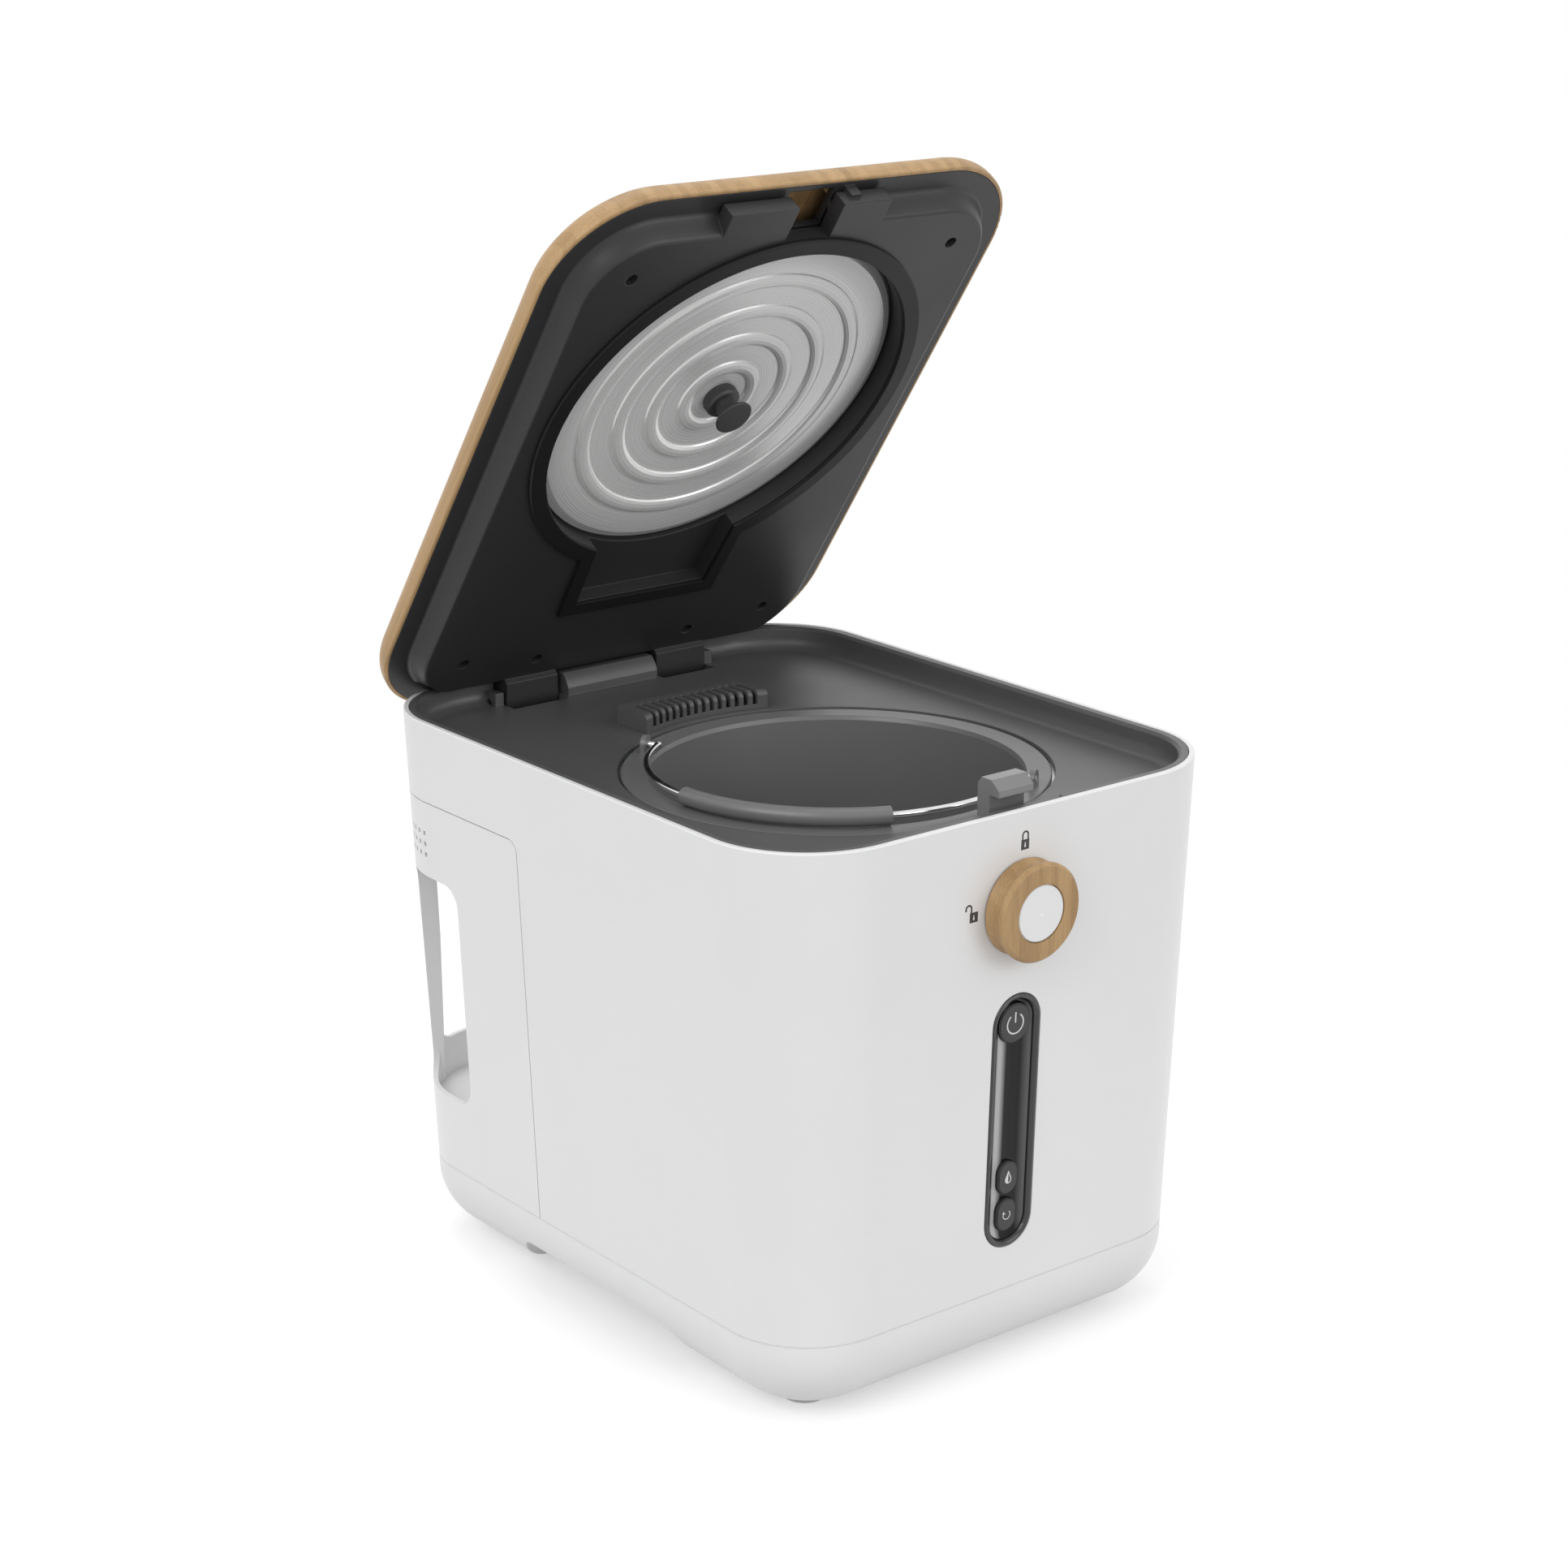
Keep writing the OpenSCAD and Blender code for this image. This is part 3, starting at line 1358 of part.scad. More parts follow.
module fan_frame() {
  color("black") placed() translate([0, fan_y, fan_z]) {
    difference() {
      translate([-fan_s / 2, 0, -fan_s / 2]) cube([fan_s, fan_t, fan_s]);
      translate([0, -1, 0]) rotate([-90, 0, 0]) cylinder(r = fan_s / 2 - 3, h = fan_t + 2);
      for (x = [-1, 1], z = [-1, 1])
        translate([x * (fan_s / 2 - 5), -1, z * (fan_s / 2 - 5)]) rotate([-90, 0, 0])
          cylinder(r = 2.2, h = fan_t + 2);
    }
    difference() {
      union() {
        translate([0, fan_t - 6, 0]) rotate([-90, 0, 0]) cylinder(r = 14, h = 6);
        for (a = [45, 135]) rotate([0, a, 0]) translate([-fan_s / 2 + 2, fan_t - 3, -2])
          cube([fan_s - 4, 3, 4]);
      }
      translate([0, fan_t - 7, 0]) rotate([-90, 0, 0]) cylinder(r = 1.5 + run, h = 5);
    }
  }
}

module fan_impeller() {
  blades = 7;
  color("dimgray") placed() translate([0, fan_y, fan_z]) {
    translate([0, 3, 0]) rotate([-90, 0, 0]) cylinder(r = 15, h = fan_t - 10);
    translate([0, fan_t - 8, 0]) rotate([-90, 0, 0]) cylinder(r = 1.5, h = 5.5);
    for (i = [0:blades - 1]) rotate([0, 360 / blades * i, 0])
      translate([(fan_s / 2 - 4 + 13) / 2, fan_t / 2 - 2, 0]) rotate([40, 0, 0])
        cube([fan_s / 2 - 4 - 13, 1.4, 18], center = true);
  }
}

module power_inlet() {
  y = back_y(inlet_z);
  w = inlet_w - 0.6;
  h = inlet_h - 0.6;
  color("black") placed() translate([inlet_x, 0, inlet_z]) difference() {
    union() {
      translate([-w / 2, y - 20, -h / 2]) cube([w, 20.4, h]);
      translate([-w / 2 - 3, y - wall - 2.5, -h / 2 - 2]) cube([w + 6, 2, h + 4]);
    }
    translate([-w / 2 + 2, y - 16, -h / 2 + 2]) cube([w - 4, 20, h - 4]);
  }
  color("silver") placed() translate([inlet_x, 0, inlet_z])
    for (p = [-7, 0, 7]) translate([p - 1, y - 18, p == 0 ? 1 : -3]) cube([2, 14, 4]);
}

module cover_screws() {
  color("silver") placed() for (x = [-foot_x, foot_x], y = foot_rows)
    translate([x, y, chassis_z + chassis_t]) cylinder(r = 4.5, h = 2.5);
}

main_casing();
base();
feet();
rear_cover();
deck();
exhaust_grille();
lid_top();
lid_liner();
lid_seal();
lid_screws();
hinge_pins();
steam_plate();
plate_pull_knob();
bucket();
bail_wire();
bail_grip();
stirring_blade();
bucket_well();
well_posts();
heating_element();
chassis();
shaft_bearing();
drive_shaft();
drive_pulley();
drive_belt();
motor();
motor_pulley();
latch_hook();
latch_guide();
knob_ring();
knob_cap();
knob_shaft();
knob_bush();
latch_cam();
panel_bezel();
panel_window();
power_button();
drop_button();
cycle_button();
control_board();
lid_switch();
filter_case();
carbon_filter();
exhaust_duct();
fan_frame();
fan_impeller();
power_inlet();
cover_screws();
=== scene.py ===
import json
import math
import bpy
import bmesh
from mathutils import Matrix, Vector


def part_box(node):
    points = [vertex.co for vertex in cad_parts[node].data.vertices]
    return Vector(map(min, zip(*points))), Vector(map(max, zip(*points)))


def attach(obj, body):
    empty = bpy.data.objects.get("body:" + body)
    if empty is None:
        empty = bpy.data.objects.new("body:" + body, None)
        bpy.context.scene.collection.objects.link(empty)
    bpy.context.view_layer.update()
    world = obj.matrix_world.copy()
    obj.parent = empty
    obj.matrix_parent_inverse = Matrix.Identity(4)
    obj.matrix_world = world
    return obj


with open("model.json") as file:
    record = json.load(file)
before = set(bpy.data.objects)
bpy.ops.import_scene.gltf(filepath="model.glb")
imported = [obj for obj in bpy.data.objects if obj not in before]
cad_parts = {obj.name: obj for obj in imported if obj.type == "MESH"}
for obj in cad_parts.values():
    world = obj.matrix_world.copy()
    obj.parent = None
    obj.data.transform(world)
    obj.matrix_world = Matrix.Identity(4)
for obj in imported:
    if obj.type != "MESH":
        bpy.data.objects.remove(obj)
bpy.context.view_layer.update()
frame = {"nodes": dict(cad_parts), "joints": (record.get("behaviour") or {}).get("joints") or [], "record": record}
nodes = frame["nodes"]
joints = {joint["name"]: joint for joint in frame["joints"]}
scene = bpy.context.scene
MM = 0.001

# The lid's hinge in metres, and the angle that the lid stands open at
HINGE = Vector(joints["lid_hinge"]["pos_m"])
LID_OPEN = math.radians(-joints["lid_hinge"]["range_deg"][0])

# The leaning front in millimetres. The keys' places are up the face from the panel's middle.
DRAFT = 0.039
LEAN = math.atan(DRAFT)
KNOB_Z = joints["knob_turn"]["pos_m"][2] / MM
PANEL_Z, PANEL_HALF = 127.35, 48.85
POWER_Y, DROP_Y, CYCLE_Y = PANEL_HALF - 0.5, -PANEL_HALF + 20.1, -PANEL_HALF + 1.2
KEY_SUNK = 0.9
# The closed lock's sign stands over the knob, the open one's beside it
CLOSED_SIGN_UP, OPEN_SIGN_UP, OPEN_SIGN_LEFT = 30.8, 2.6, 28.8

# The photo's camera, from a fit to the machine's edges in the photo's pixels
YAW, PITCH, ROLL = math.radians(38.108), math.radians(17.352), math.radians(-0.259)
CAMERA_AT = Vector((-930.3, -1182.468, 718.9)) * MM
FOCAL_PX, PHOTO_PX, SENSOR = 4024.46, 1932, 36.0
CAMERA_REACH = 20.0

# The white surroundings, and the floor's size and fade in metres
WORLD_LIGHT, FLOOR_GLOW, FLOOR_ALBEDO = 0.80, 0.45, 0.62
FAR_FLOOR_LIGHT = WORLD_LIGHT * 0.6
FLOOR_SIZE, FADE_FROM, FADE_TO = 12, 0.25, 0.8

# Edges that turn by more than this are shaded sharp
SHARP = math.radians(28)


def middle(node):
    """The middle of a CAD node's box, in metres."""
    low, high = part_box(node)
    return (low + high) / 2


def add_camera():
    data = bpy.data.cameras.new("camera")
    data.sensor_width = SENSOR
    data.lens = FOCAL_PX / PHOTO_PX * SENSOR
    data.clip_end = CAMERA_REACH
    camera = bpy.data.objects.new("camera", data)
    scene.collection.objects.link(camera)
    ahead = Vector((math.sin(YAW) * math.cos(PITCH), math.cos(YAW) * math.cos(PITCH), -math.sin(PITCH)))
    right = Vector((math.cos(YAW), -math.sin(YAW), 0))
    up = right.cross(ahead)
    rolled_right = right * math.cos(ROLL) + up * math.sin(ROLL)
    rolled_up = -right * math.sin(ROLL) + up * math.cos(ROLL)
    turn = Matrix((rolled_right, rolled_up, -ahead)).transposed().to_4x4()
    camera.matrix_world = Matrix.Translation(CAMERA_AT) @ turn
    scene.camera = camera


# Materials
class Tree:
    """The nodes of a world or a material, built up call by call."""

    def __init__(self, owner):
        owner.use_nodes = True
        self.tree = owner.node_tree

    def node(self, kind, **props):
        n = self.tree.nodes.new("ShaderNode" + kind)
        for key, value in props.items():
            setattr(n, key, value)
        return n

    def put(self, value, socket):
        """Links a node's output to the socket, or writes a number, a vector or a colour into it."""
        if isinstance(value, bpy.types.NodeSocket):
            self.tree.links.new(value, socket)
        elif socket.type == "RGBA":
            socket.default_value = (*value, 1.0)
        else:
            socket.default_value = value

    def math(self, op, a, b=0.0):
        n = self.node("Math", operation=op)
        self.put(a, n.inputs[0])
        self.put(b, n.inputs[1])
        return n.outputs["Value"]

    def vector(self, op, a, b=(0, 0, 0), result="Vector"):
        n = self.node("VectorMath", operation=op)
        self.put(a, n.inputs[0])
        self.put(b, n.inputs[1])
        return n.outputs[result]

    def split(self, vector):
        """The X and Y of a vector."""
        n = self.node("SeparateXYZ")
        self.put(vector, n.inputs["Vector"])
        return n.outputs["X"], n.outputs["Y"]

    def remap(self, value, low, high, lo_in=0.3, hi_in=0.7, **props):
        """Maps lo_in to low and hi_in to high. The defaults fit a noise's usual range."""
        n = self.node("MapRange", **props)
        self.put(value, n.inputs["Value"])
        for name, v in (("From Min", lo_in), ("From Max", hi_in), ("To Min", low), ("To Max", high)):
            self.put(v, n.inputs[name])
        return n.outputs["Result"]

    def seen_directly(self):
        """1 for rays that show the white surroundings: camera, mirror and glass rays."""
        path = self.node("LightPath")
        total = path.outputs["Is Camera Ray"]
        for name in ("Is Glossy Ray", "Is Transmission Ray"):
            total = self.math("MAXIMUM", total, path.outputs[name])
        return total


class Shader(Tree):
    """A material round one Principled node. Its coord can be turned about a line along X."""

    def __init__(self, name, turn=0.0, about=(0, 0, 0)):
        self.mat = bpy.data.materials.new(name)
        super().__init__(self.mat)
        self.bsdf = self.tree.nodes["Principled BSDF"]
        self.coord = self.node("TexCoord").outputs["Object"]
        if turn:
            rotate = self.node("VectorRotate", rotation_type="X_AXIS")
            rotate.inputs["Angle"].default_value = turn
            rotate.inputs["Center"].default_value = about
            self.put(self.coord, rotate.inputs["Vector"])
            self.coord = rotate.outputs["Vector"]

    def noise(self, scale, detail=4.0, rough=0.6):
        """Noise of about so many cells a metre along X, Y and Z."""
        mapping = self.node("Mapping")
        self.put(scale, mapping.inputs["Scale"])
        self.put(self.coord, mapping.inputs["Vector"])
        n = self.node("TexNoise")
        for name, v in (("Scale", 1.0), ("Detail", detail), ("Roughness", rough)):
            self.put(v, n.inputs[name])
        self.put(mapping.outputs["Vector"], n.inputs["Vector"])
        return n.outputs["Fac"]

    def mix(self, fac, a, b):
        """Mixes two colours. Sockets of a Mix node share their names, so these go by number."""
        n = self.node("Mix", data_type="RGBA")
        for number, v in ((0, fac), (6, a), (7, b)):
            self.put(v, n.inputs[number])
        return n.outputs[2]

    def surface(self, color, rough, metal=0.0, **extra):
        for name, v in (("Base Color", color), ("Roughness", rough), ("Metallic", metal), *extra.items()):
            self.put(v, self.bsdf.inputs[name.replace("_", " ")])

    def rounded(self, radius):
        """The surface's normal with its edges rounded off by that many millimetres."""
        bevel = self.node("Bevel", samples=6)
        bevel.inputs["Radius"].default_value = radius * MM
        return bevel.outputs["Normal"]

    def relief(self, height, depth, edge=0.0):
        """Bump from a height map, over edges that the shading rounds off by edge millimetres."""
        bump = self.node("Bump")
        bump.inputs["Strength"].default_value = 1.0
        bump.inputs["Distance"].default_value = depth * MM
        self.put(height, bump.inputs["Height"])
        if edge:
            self.put(self.rounded(edge), bump.inputs["Normal"])
        self.put(bump.outputs["Normal"], self.bsdf.inputs["Normal"])

    def wear(self):
        """At most a half, along the piece's edges and broken up by noise, and 0 elsewhere."""
        edge_width, most, bent, flat = 0.8, 0.5, 0.75, 0.98
        normal = self.node("NewGeometry").outputs["Normal"]
        flatness = self.vector("DOT_PRODUCT", self.rounded(edge_width), normal, result="Value")
        turned = self.remap(flatness, most, 0.0, bent, flat)
        return self.math("MULTIPLY", turned, self.remap(self.noise((400, 400, 400)), 0.3, 1.0))


def plastic(name, color, rough, grain=0.006, edge=0.35, coat=0.0, shine=0.5):
    """Moulded plastic or rubber: a fine grain, a faint blotch of tone and shinier edges."""
    s = Shader(name)
    blotch = s.noise((18, 18, 18), detail=3)
    fine = s.noise((2600, 2600, 2600), detail=2)
    light = tuple(min(1.0, c * 1.012) for c in color)
    dark = tuple(c * 0.988 for c in color)
    spread, edge_shine = 0.04, -0.06
    uneven = s.remap(blotch, rough - spread, rough + spread)
    s.surface(s.mix(s.remap(blotch, 0.0, 1.0), dark, light),
              s.math("ADD", uneven, s.math("MULTIPLY", s.wear(), edge_shine)),
              Coat_Weight=coat, Coat_Roughness=0.08, Specular_IOR_Level=shine)
    s.relief(fine, grain, edge)
    return s.mat


def metal(name, color, rough, grain=(60, 3200, 3200), depth=0.004):
    """Bare metal. Its grain is drawn out along X, unless grain is alike all ways."""
    s = Shader(name)
    streak = s.noise(grain, detail=6)
    blotch = s.noise((30, 30, 30), detail=3)
    dark = tuple(c * 0.9 for c in color)
    spread = 0.05
    uneven = s.remap(streak, rough - spread, rough + spread)
    s.surface(s.mix(s.remap(streak, 0.0, 1.0), dark, color),
              s.math("ADD", uneven, s.remap(blotch, -0.03, 0.05)), metal=1.0)
    s.relief(streak, depth, 0.3)
    return s.mat


def bamboo(name, turn=0.0, along="Y"):
    """Pressed bamboo: narrow strips side by side, each with its own tone, fine pores and straight fibres."""
    s = Shader(name, turn)
    strip_width = 4.4 * MM
    dark, light, pore = (0.27, 0.155, 0.058), (0.56, 0.365, 0.175), (0.26, 0.14, 0.05)
    strip_share, fibre_share, broad_share = 0.28, 0.40, 0.32

    def stretched(across, length):
        return (across, length, across) if along == "Y" else (across, across, length)

    strip = s.node("TexWhiteNoise", noise_dimensions="1D")
    s.put(s.math("FLOOR", s.math("MULTIPLY", s.split(s.coord)[0], 1 / strip_width)), strip.inputs["W"])
    fibre = s.noise(stretched(1500, 22), detail=5, rough=0.65)
    broad = s.noise(stretched(130, 7), detail=3)
    pores = s.noise(stretched(2600, 160), detail=2)
    tone = s.math("ADD", s.math("MULTIPLY", strip.outputs["Value"], strip_share),
                  s.math("ADD", s.math("MULTIPLY", s.remap(fibre, 0.0, 1.0), fibre_share),
                         s.math("MULTIPLY", s.remap(broad, 0.0, 1.0), broad_share)))
    wood = s.mix(s.remap(pores, 0.32, 0.0, 0.28, 0.42), s.mix(tone, dark, light), pore)
    s.surface(wood, s.remap(fibre, 0.40, 0.56), Coat_Weight=0.08, Coat_Roughness=0.3)
    s.relief(s.math("ADD", fibre, s.math("MULTIPLY", pores, 0.6)), 0.03, 0.5)
    return s.mat


def pressed_steel(name):
    """The steam plate: satin steel turned on a lathe, with fine rings, a painted sheen and painted shade near its
    rim.
    """
    s = Shader(name, LID_OPEN, HINGE)
    dark, light = (0.50, 0.50, 0.50), (0.98, 0.98, 0.97)
    ring_share, painted_sheen_share, mean_tone = 0.14, 0.40, 0.55
    painted_sheen_turn = -0.873
    rim_from, rim_to, rim_darker = 80 * MM, 94 * MM, -0.35
    # Turned shut with the lid, the plate lies over the bucket's middle, which its rings go round
    spoke = s.vector("MULTIPLY", s.vector("SUBTRACT", s.coord, middle("bucket")), (1, 1, 0))
    radius = s.vector("LENGTH", spoke, result="Value")
    ring = s.node("TexNoise", noise_dimensions="1D")
    ring.inputs["Scale"].default_value = 1800
    ring.inputs["Detail"].default_value = 3
    s.put(radius, ring.inputs["W"])
    rings = ring.outputs["Fac"]
    # Painted sheen: one side of the disc is painted lighter and the other darker. The side that mirrors the dark
    # bucket is the lighter one, so that the disc reads as one bright piece
    x, y = s.split(spoke)
    painted_sheen = s.math("SINE", s.math("ADD", s.math("ARCTAN2", y, x), painted_sheen_turn))
    # Painted shade: the tone darkens from 80 to 94 mm out, towards the rim
    rim_shade = s.remap(radius, 0.0, rim_darker, rim_from, rim_to)
    tone = s.math("ADD", s.math("MULTIPLY", s.remap(rings, -0.5, 0.5), ring_share),
                  s.math("ADD", s.math("MULTIPLY", painted_sheen, painted_sheen_share), s.math("ADD", rim_shade, mean_tone)))
    s.surface(s.mix(tone, dark, light), s.remap(rings, 0.24, 0.30), metal=0.32)
    s.relief(rings, 0.001, 0.15)
    return s.mat


def window_gloss(name):
    """The panel's gloss face: nearly black, with a painted reflection: the upright light stripe that its hollow
    catches, painted into its colour.
    """
    s = Shader(name)
    dark, bright = (0.006, 0.006, 0.007), (0.46, 0.46, 0.465)
    # Places across the window from its middle: the painted reflection, and a fainter painted reflection on the
    # right
    rise_from, rise_to, fall_from, fall_to = -9.6 * MM, -8.2 * MM, -6.0 * MM, -2.6 * MM
    right_from, right_to, right_shine = 6.0 * MM, 10.0 * MM, 0.22
    across = s.split(s.coord)[0]
    rise = s.remap(across, 0.0, 1.0, rise_from, rise_to)
    fall = s.remap(across, 1.0, 0.0, fall_from, fall_to)
    painted_right_reflection = s.remap(across, 0.0, right_shine, right_from, right_to)
    # Painted reflection: the stripe's brightness goes into the colour, between dark and bright
    shine = s.math("ADD", s.math("MULTIPLY", rise, fall), painted_right_reflection)
    fine = s.noise((900, 900, 900), detail=2)
    s.surface(s.mix(shine, dark, bright), s.remap(fine, 0.12, 0.16),
              Specular_IOR_Level=0.18, Coat_Weight=0.08, Coat_Roughness=0.05)
    s.relief(fine, 0.0004, 0.3)
    return s.mat


def ink(name, color):
    s = Shader(name)
    dark = tuple(c * 0.9 for c in color)
    fine = s.noise((900, 900, 900), detail=2)
    s.surface(s.mix(s.remap(fine, 0.0, 1.0), dark, color), s.remap(fine, 0.45, 0.55))
    s.relief(fine, 0.002)
    return s.mat


PLASTICS = {
    "white_shell": dict(color=(0.78, 0.78, 0.785), rough=0.34, grain=0.003, coat=0.15),
    "base_white": dict(color=(0.77, 0.77, 0.775), rough=0.36, grain=0.003, coat=0.1),
    "cap_white": dict(color=(0.80, 0.80, 0.805), rough=0.30, grain=0.002, coat=0.2),
    "foot_rubber": dict(color=(0.62, 0.62, 0.62), rough=0.6, grain=0.02),
    "silicone": dict(color=(0.036, 0.036, 0.038), rough=0.46, edge=0.5),
    "bucket_coat": dict(color=(0.150, 0.150, 0.153), rough=0.34, grain=0.008, edge=0.5),
    "pulley_plastic": dict(color=(0.12, 0.12, 0.12), rough=0.5),
    "belt_rubber": dict(color=(0.03, 0.03, 0.03), rough=0.7, grain=0.02),
    "cam_plastic": dict(color=(0.72, 0.7, 0.64), rough=0.4),
    "panel_rim": dict(color=(0.022, 0.022, 0.024), rough=0.30, grain=0.003, edge=0.6, coat=0.3),
    "key_plastic": dict(color=(0.030, 0.030, 0.032), rough=0.40, grain=0.004, edge=0.5),
    "board_green": dict(color=(0.03, 0.16, 0.07), rough=0.4),
    "inner_plastic": dict(color=(0.07, 0.07, 0.07), rough=0.5),
    "carbon": dict(color=(0.02, 0.02, 0.02), rough=0.9, grain=0.3),
    # Painted light and shade: the liner is painted darker and the deck lighter than the same black plastic, the
    # grip lighter for a painted highlight, the grille lighter and the seal darker for painted shade
    "liner_black_painted_shade": dict(color=(0.030, 0.030, 0.032), rough=0.38, grain=0.010, edge=0.8, shine=0.36),
    "deck_black_painted_light": dict(color=(0.092, 0.092, 0.094), rough=0.38, grain=0.012, edge=0.7),
    "hook_grey": dict(color=(0.19, 0.19, 0.193), rough=0.32, grain=0.004, edge=0.7, coat=0.3),
    "grip_grey_painted_highlight": dict(color=(0.17, 0.17, 0.172), rough=0.32, grain=0.004, edge=0.4),
    "grille_black_painted_light": dict(color=(0.085, 0.085, 0.087), rough=0.36, edge=0.6),
    "seal_black_painted_shade": dict(color=(0.012, 0.012, 0.013), rough=0.46, edge=0.6, shine=0.2),
}
METALS = {
    "bright_wire": dict(color=(0.82, 0.82, 0.82), rough=0.12, grain=(200, 200, 200), depth=0.001),
    "blade_metal": dict(color=(0.55, 0.55, 0.56), rough=0.35),
    "well_metal": dict(color=(0.62, 0.62, 0.63), rough=0.3),
    "frame_metal": dict(color=(0.5, 0.5, 0.51), rough=0.35),
    "dark_screw": dict(color=(0.16, 0.16, 0.165), rough=0.35),
    "bearing_bronze": dict(color=(0.58, 0.36, 0.16), rough=0.38),
}
# Pieces whose tone or grain in the photo differs from the rest of their material slot. The knob ring's bamboo
# grain runs along its axis; the liner, deck, grip, grille and seal have tones set darker or lighter to paint in
# the shade and light that fall on them, and the grip's grey is also a painted highlight
OWN_FINISH_AND_PAINTED_LIGHT = {
    "knob_ring": "bamboo_knob",
    "lid_liner": "liner_black_painted_shade",
    "deck": "deck_black_painted_light",
    "latch_hook": "hook_grey",
    "bail_grip": "grip_grey_painted_highlight",
    "exhaust_grille": "grille_black_painted_light",
    "lid_seal": "seal_black_painted_shade",
}


def all_materials():
    """Each finish by its name: one of the record's material slots, or one of OWN_FINISH_AND_PAINTED_LIGHT."""
    mats = {name: plastic(name, **look) for name, look in PLASTICS.items()}
    mats.update((name, metal(name, **look)) for name, look in METALS.items())
    mats["bamboo"] = bamboo("bamboo", turn=LID_OPEN)
    mats["bamboo_knob"] = bamboo("bamboo_knob", along="Z")
    mats["steel"] = pressed_steel("steel")
    mats["panel_gloss"] = window_gloss("panel_gloss")
    return mats


def dress(mats):
    """Gives each CAD node its finish, and smooth shading that breaks at the sharp edges."""
    node_slot = {part["node"]: part["material_slot"] for part in frame["record"]["subparts"]}
    for name, obj in nodes.items():
        material = mats[OWN_FINISH_AND_PAINTED_LIGHT.get(name, node_slot[name])]
        if obj.material_slots:
            for slot in obj.material_slots:
                slot.material = material
        else:
            obj.data.materials.append(material)
        obj.data.polygons.foreach_set("use_smooth", [True] * len(obj.data.polygons))
        obj.data.set_sharp_from_angle(angle=SHARP)


# Printed signs. Their outlines are in millimetres, x to the right and y up the face.
def arc(cx, cy, r, from_deg, to_deg, stroke, steps=28):
    """A bent bar of the given stroke width along an arc, in that many pieces."""
    angles = [math.radians(from_deg + (to_deg - from_deg) * i / steps) for i in range(steps + 1)]
    outer = [(cx + (r + stroke / 2) * math.cos(a), cy + (r + stroke / 2) * math.sin(a)) for a in angles]
    inner = [(cx + (r - stroke / 2) * math.cos(a), cy + (r - stroke / 2) * math.sin(a)) for a in angles]
    return [(outer[i], outer[i + 1], inner[i + 1], inner[i]) for i in range(steps)]


def bar(x0, y0, x1, y1):
    return [((x0, y0), (x1, y0), (x1, y1), (x0, y1))]


def drop_outline(cy, r, tip, steps=24):
    """A water drop: a round belly of radius r about cy, drawn out to a point that lies tip above cy."""
    half_gap = math.acos(r / tip)
    start, sweep = math.pi / 2 + half_gap, 2 * math.pi - 2 * half_gap
    angles = [start + sweep * i / steps for i in range(steps + 1)]
    return [(r * math.cos(a), cy + r * math.sin(a)) for a in angles] + [(0, cy + tip)]


def padlock(shift=0.0):
    """A padlock with a keyhole. A shift moves the shackle sideways and ends its left leg above the body."""
    half, bottom, top = 2.35, -4.3, 0.5
    hole_half, hole_bottom, neck_half, neck_bottom, neck_top = 0.45, -3.2, 0.28, -1.9, -0.8
    shackle_y, shackle_r, stroke, free_end = 2.6, 1.6, 0.9, 1.6
    leg_in, leg_out = shackle_r - stroke / 2, shackle_r + stroke / 2
    body = bar(-half, bottom, -hole_half, top) + bar(hole_half, bottom, half, top)
    body += bar(-hole_half, bottom, hole_half, hole_bottom) + bar(-hole_half, neck_top, hole_half, top)
    body += bar(-hole_half, neck_bottom, -neck_half, neck_top)
    body += bar(neck_half, neck_bottom, hole_half, neck_top)
    shackle = arc(shift, shackle_y, shackle_r, 0, 180, stroke)
    shackle += bar(shift + leg_in, top, shift + leg_out, shackle_y)
    shackle += bar(shift - leg_out, free_end if shift else top, shift - leg_in, shackle_y)
    return body + shackle


def power_sign():
    """A ring that is open at the top, with an upright stroke in the opening."""
    ring_y, ring_r, stroke, half_opening = -0.2, 4.8, 0.7, 35
    line_half, line_bottom, line_top = 0.36, 0.3, 5.4
    ring = arc(0, ring_y, ring_r, 90 + half_opening, 450 - half_opening, stroke, steps=40)
    return ring + bar(-line_half, line_bottom, line_half, line_top)


def drop_sign():
    """The outline of a drop, with its left half filled."""
    belly_y = -0.9
    outer, inner = drop_outline(belly_y, 1.95, 4.6), drop_outline(belly_y, 1.45, 3.4)
    count = len(outer)
    rim = [(outer[i], outer[(i + 1) % count], inner[(i + 1) % count], inner[i]) for i in range(count)]
    left_half = [p for p in inner if p[0] <= 0.001]
    return rim + [left_half]


def cycle_sign():
    """A turning arrow: most of a circle, with a triangle for its head."""
    ring_r, stroke = 2.1, 0.42
    head = ((-2.5, 0.75), (-0.85, 0.55), (-1.9, 2.1))
    return arc(0, 0, ring_r, 160, 410, stroke) + [head]


def front_matrix(height, x=0.0, y=0.0, sunk=0.0):
    """A frame on the leaning front, with x right, y up the face and z out of it. Takes millimetres."""
    casing_low, casing_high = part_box("main_casing")
    front_y = casing_low.y + DRAFT * (casing_high.z - height * MM)
    lean = Matrix.Translation((0, front_y, height * MM)) @ Matrix.Rotation(math.pi / 2 + LEAN, 4, "X")
    return lean @ Matrix.Translation(Vector((x, y, -sunk)) * MM)


def key_matrix(y):
    return front_matrix(PANEL_Z, y=y, sunk=KEY_SUNK)


INKS = {"dark": ink("ink_dark", (0.05, 0.05, 0.052)), "pale": ink("ink_pale", (0.72, 0.72, 0.72))}


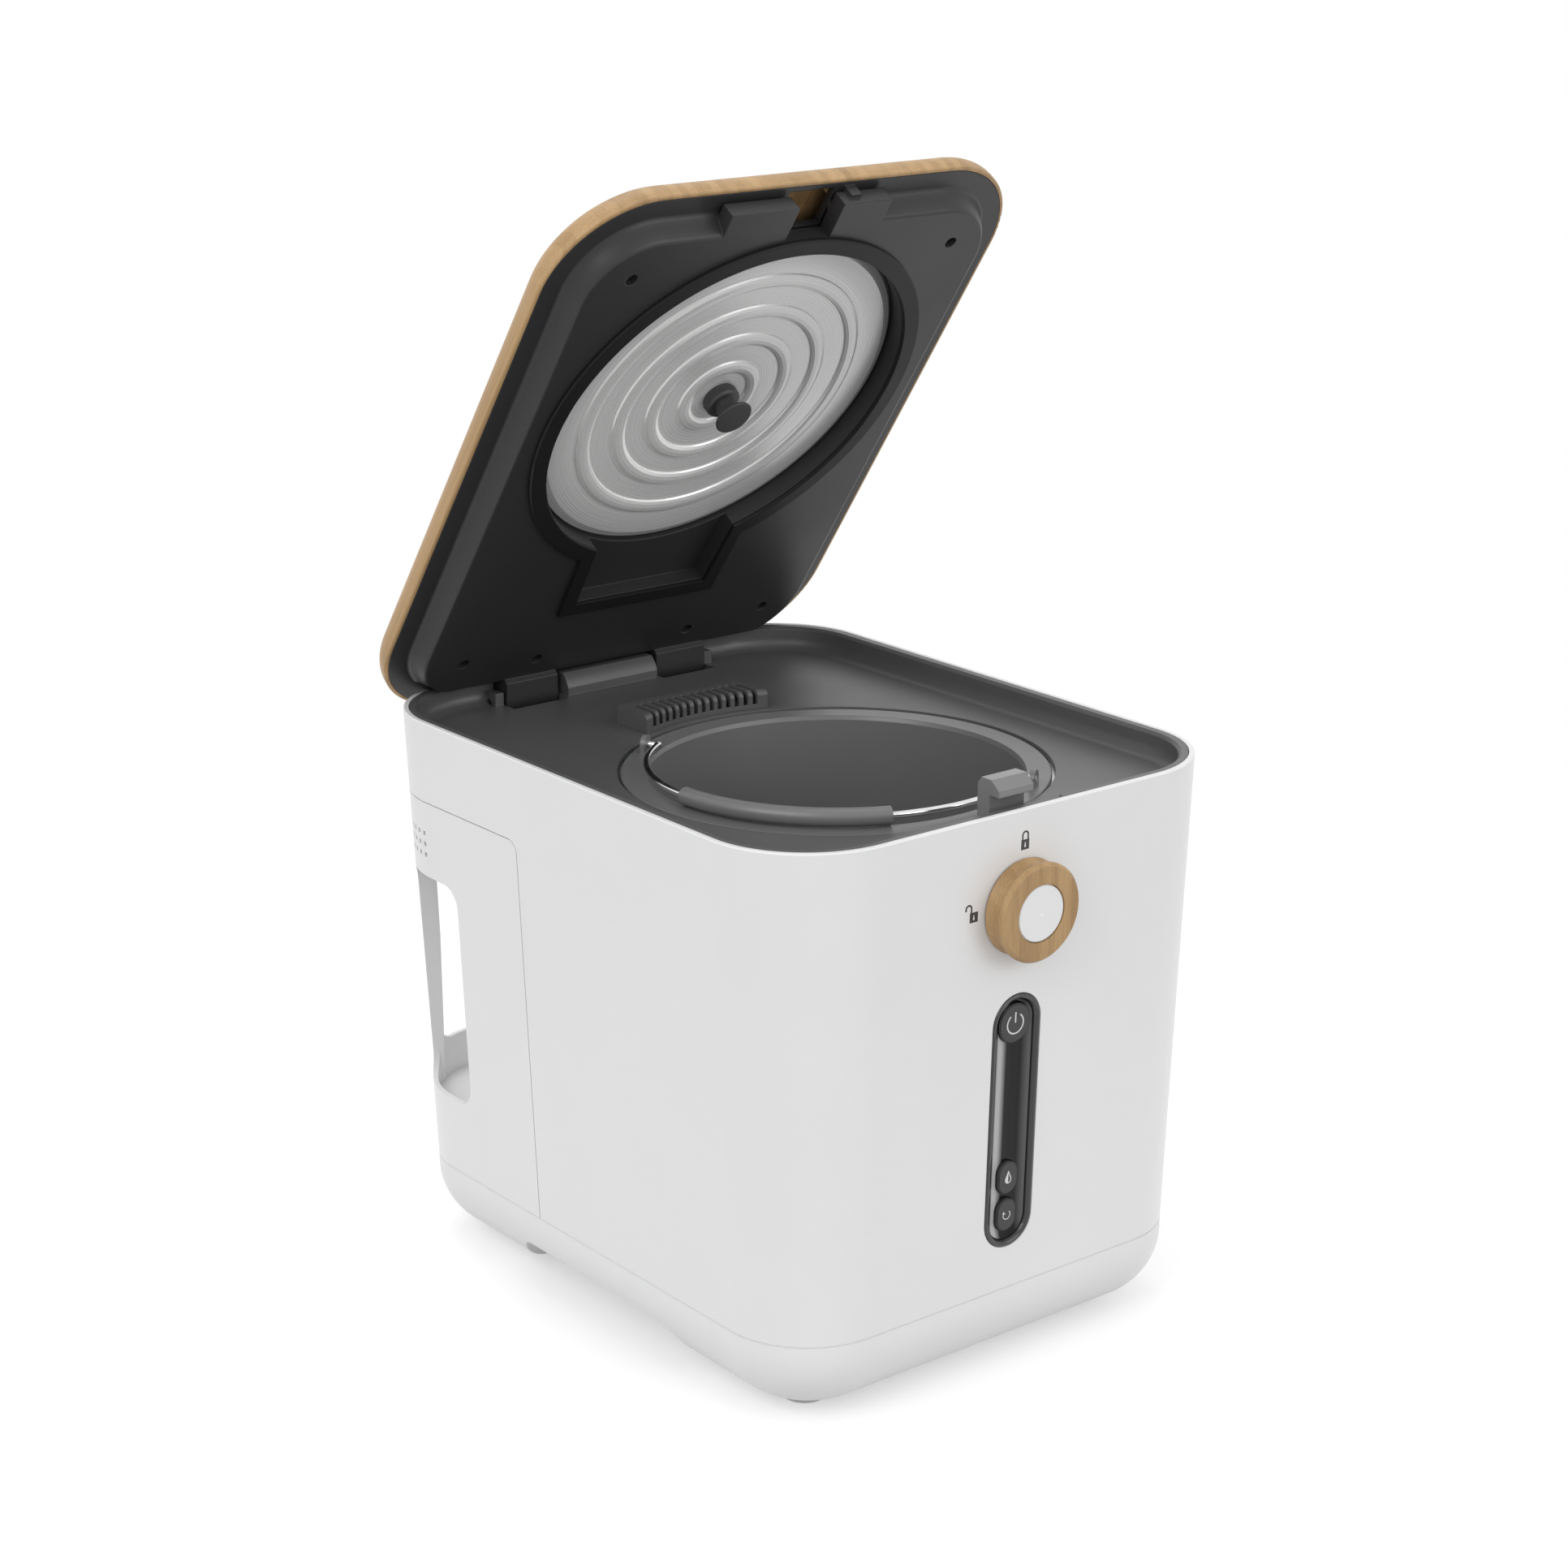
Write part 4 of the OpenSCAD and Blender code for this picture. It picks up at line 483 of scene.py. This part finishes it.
def mark(name, outlines, place, body, color, half_thick=0.06):
    """Ink on a surface: each outline is a thin plate, half of it above the surface."""
    bm = bmesh.new()
    for outline in outlines:
        low = [bm.verts.new(Vector((x, y, -half_thick)) * MM) for x, y in outline]
        top = [bm.verts.new(Vector((x, y, half_thick)) * MM) for x, y in outline]
        bm.faces.new(top)
        bm.faces.new(list(reversed(low)))
        n = len(outline)
        for i in range(n):
            bm.faces.new((low[i], low[(i + 1) % n], top[(i + 1) % n], top[i]))
    bmesh.ops.recalc_face_normals(bm, faces=bm.faces)
    mesh = bpy.data.meshes.new(name)
    bm.to_mesh(mesh)
    bm.free()
    obj = bpy.data.objects.new(name, mesh)
    scene.collection.objects.link(obj)
    obj.matrix_world = place
    mesh.materials.append(INKS[color])
    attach(obj, body)


# World, floor and lamps
def add_world():
    world = bpy.data.worlds.new("studio")
    scene.world = world
    sky = Tree(world)
    background = sky.tree.nodes["Background"]
    sky.put((1, 1, 1), background.inputs["Color"])
    sky.put(sky.remap(sky.seen_directly(), WORLD_LIGHT, 1.0, 0.0, 1.0), background.inputs["Strength"])


def floor_material():
    """A bright floor that takes the machine's shadow and, far from it, is the plain white of the world."""
    s = Shader("floor")
    seen = s.seen_directly()
    s.surface((FLOOR_ALBEDO,) * 3, 0.9, Specular_IOR_Level=0.0, Emission_Color=(1, 1, 1),
              Emission_Strength=s.math("MULTIPLY", seen, FLOOR_GLOW))
    plain = s.node("Emission")
    s.put((1, 1, 1), plain.inputs["Color"])
    s.put(s.remap(seen, FAR_FLOOR_LIGHT, 1.0, 0.0, 1.0), plain.inputs["Strength"])
    reach = s.vector("LENGTH", s.coord, result="Value")
    blend = s.node("MixShader")
    s.put(s.remap(reach, 0.0, 1.0, FADE_FROM, FADE_TO, interpolation_type="SMOOTHSTEP"), blend.inputs["Fac"])
    s.put(s.bsdf.outputs["BSDF"], blend.inputs[1])
    s.put(plain.outputs["Emission"], blend.inputs[2])
    s.put(blend.outputs["Shader"], s.tree.nodes["Material Output"].inputs["Surface"])
    return s.mat


def add_floor():
    bpy.ops.mesh.primitive_plane_add(size=FLOOR_SIZE, location=(0, 0, 0))
    floor = bpy.context.object
    floor.name = "floor"
    floor.data.materials.append(floor_material())


def lamp(name, place, target, size, power):
    """A soft rectangular lamp that looks at target, in metres and watts."""
    data = bpy.data.lights.new(name, "AREA")
    data.shape = "RECTANGLE"
    data.size, data.size_y = size
    data.energy = power
    obj = bpy.data.objects.new(name, data)
    scene.collection.objects.link(obj)
    obj.location = place
    obj.rotation_euler = (Vector(target) - Vector(place)).to_track_quat("-Z", "Y").to_euler()


add_camera()
dress(all_materials())
mark("icon_locked", padlock(), front_matrix(KNOB_Z + CLOSED_SIGN_UP), "casing", "dark")
beside_knob = front_matrix(KNOB_Z + OPEN_SIGN_UP, x=-OPEN_SIGN_LEFT)
mark("icon_unlocked", padlock(shift=-3.1), beside_knob, "casing", "dark")
mark("icon_power", power_sign(), key_matrix(POWER_Y), "power_key", "pale")
mark("icon_drop", drop_sign(), key_matrix(DROP_Y), "drop_key", "pale")
mark("icon_cycle", cycle_sign(), key_matrix(CYCLE_Y), "cycle_key", "pale")
add_world()
add_floor()
lamp("key_left", (-2.2, -0.6, 1.9), (0, 0, 0.2), (1.6, 1.6), 24)
lamp("fill_front", (0.9, -2.4, 1.2), (0, 0, 0.2), (1.8, 1.4), 15)
lamp("top_back", (0.2, 0.8, 2.3), (0, 0, 0.3), (1.4, 1.0), 9)
scene.view_settings.view_transform = "Standard"
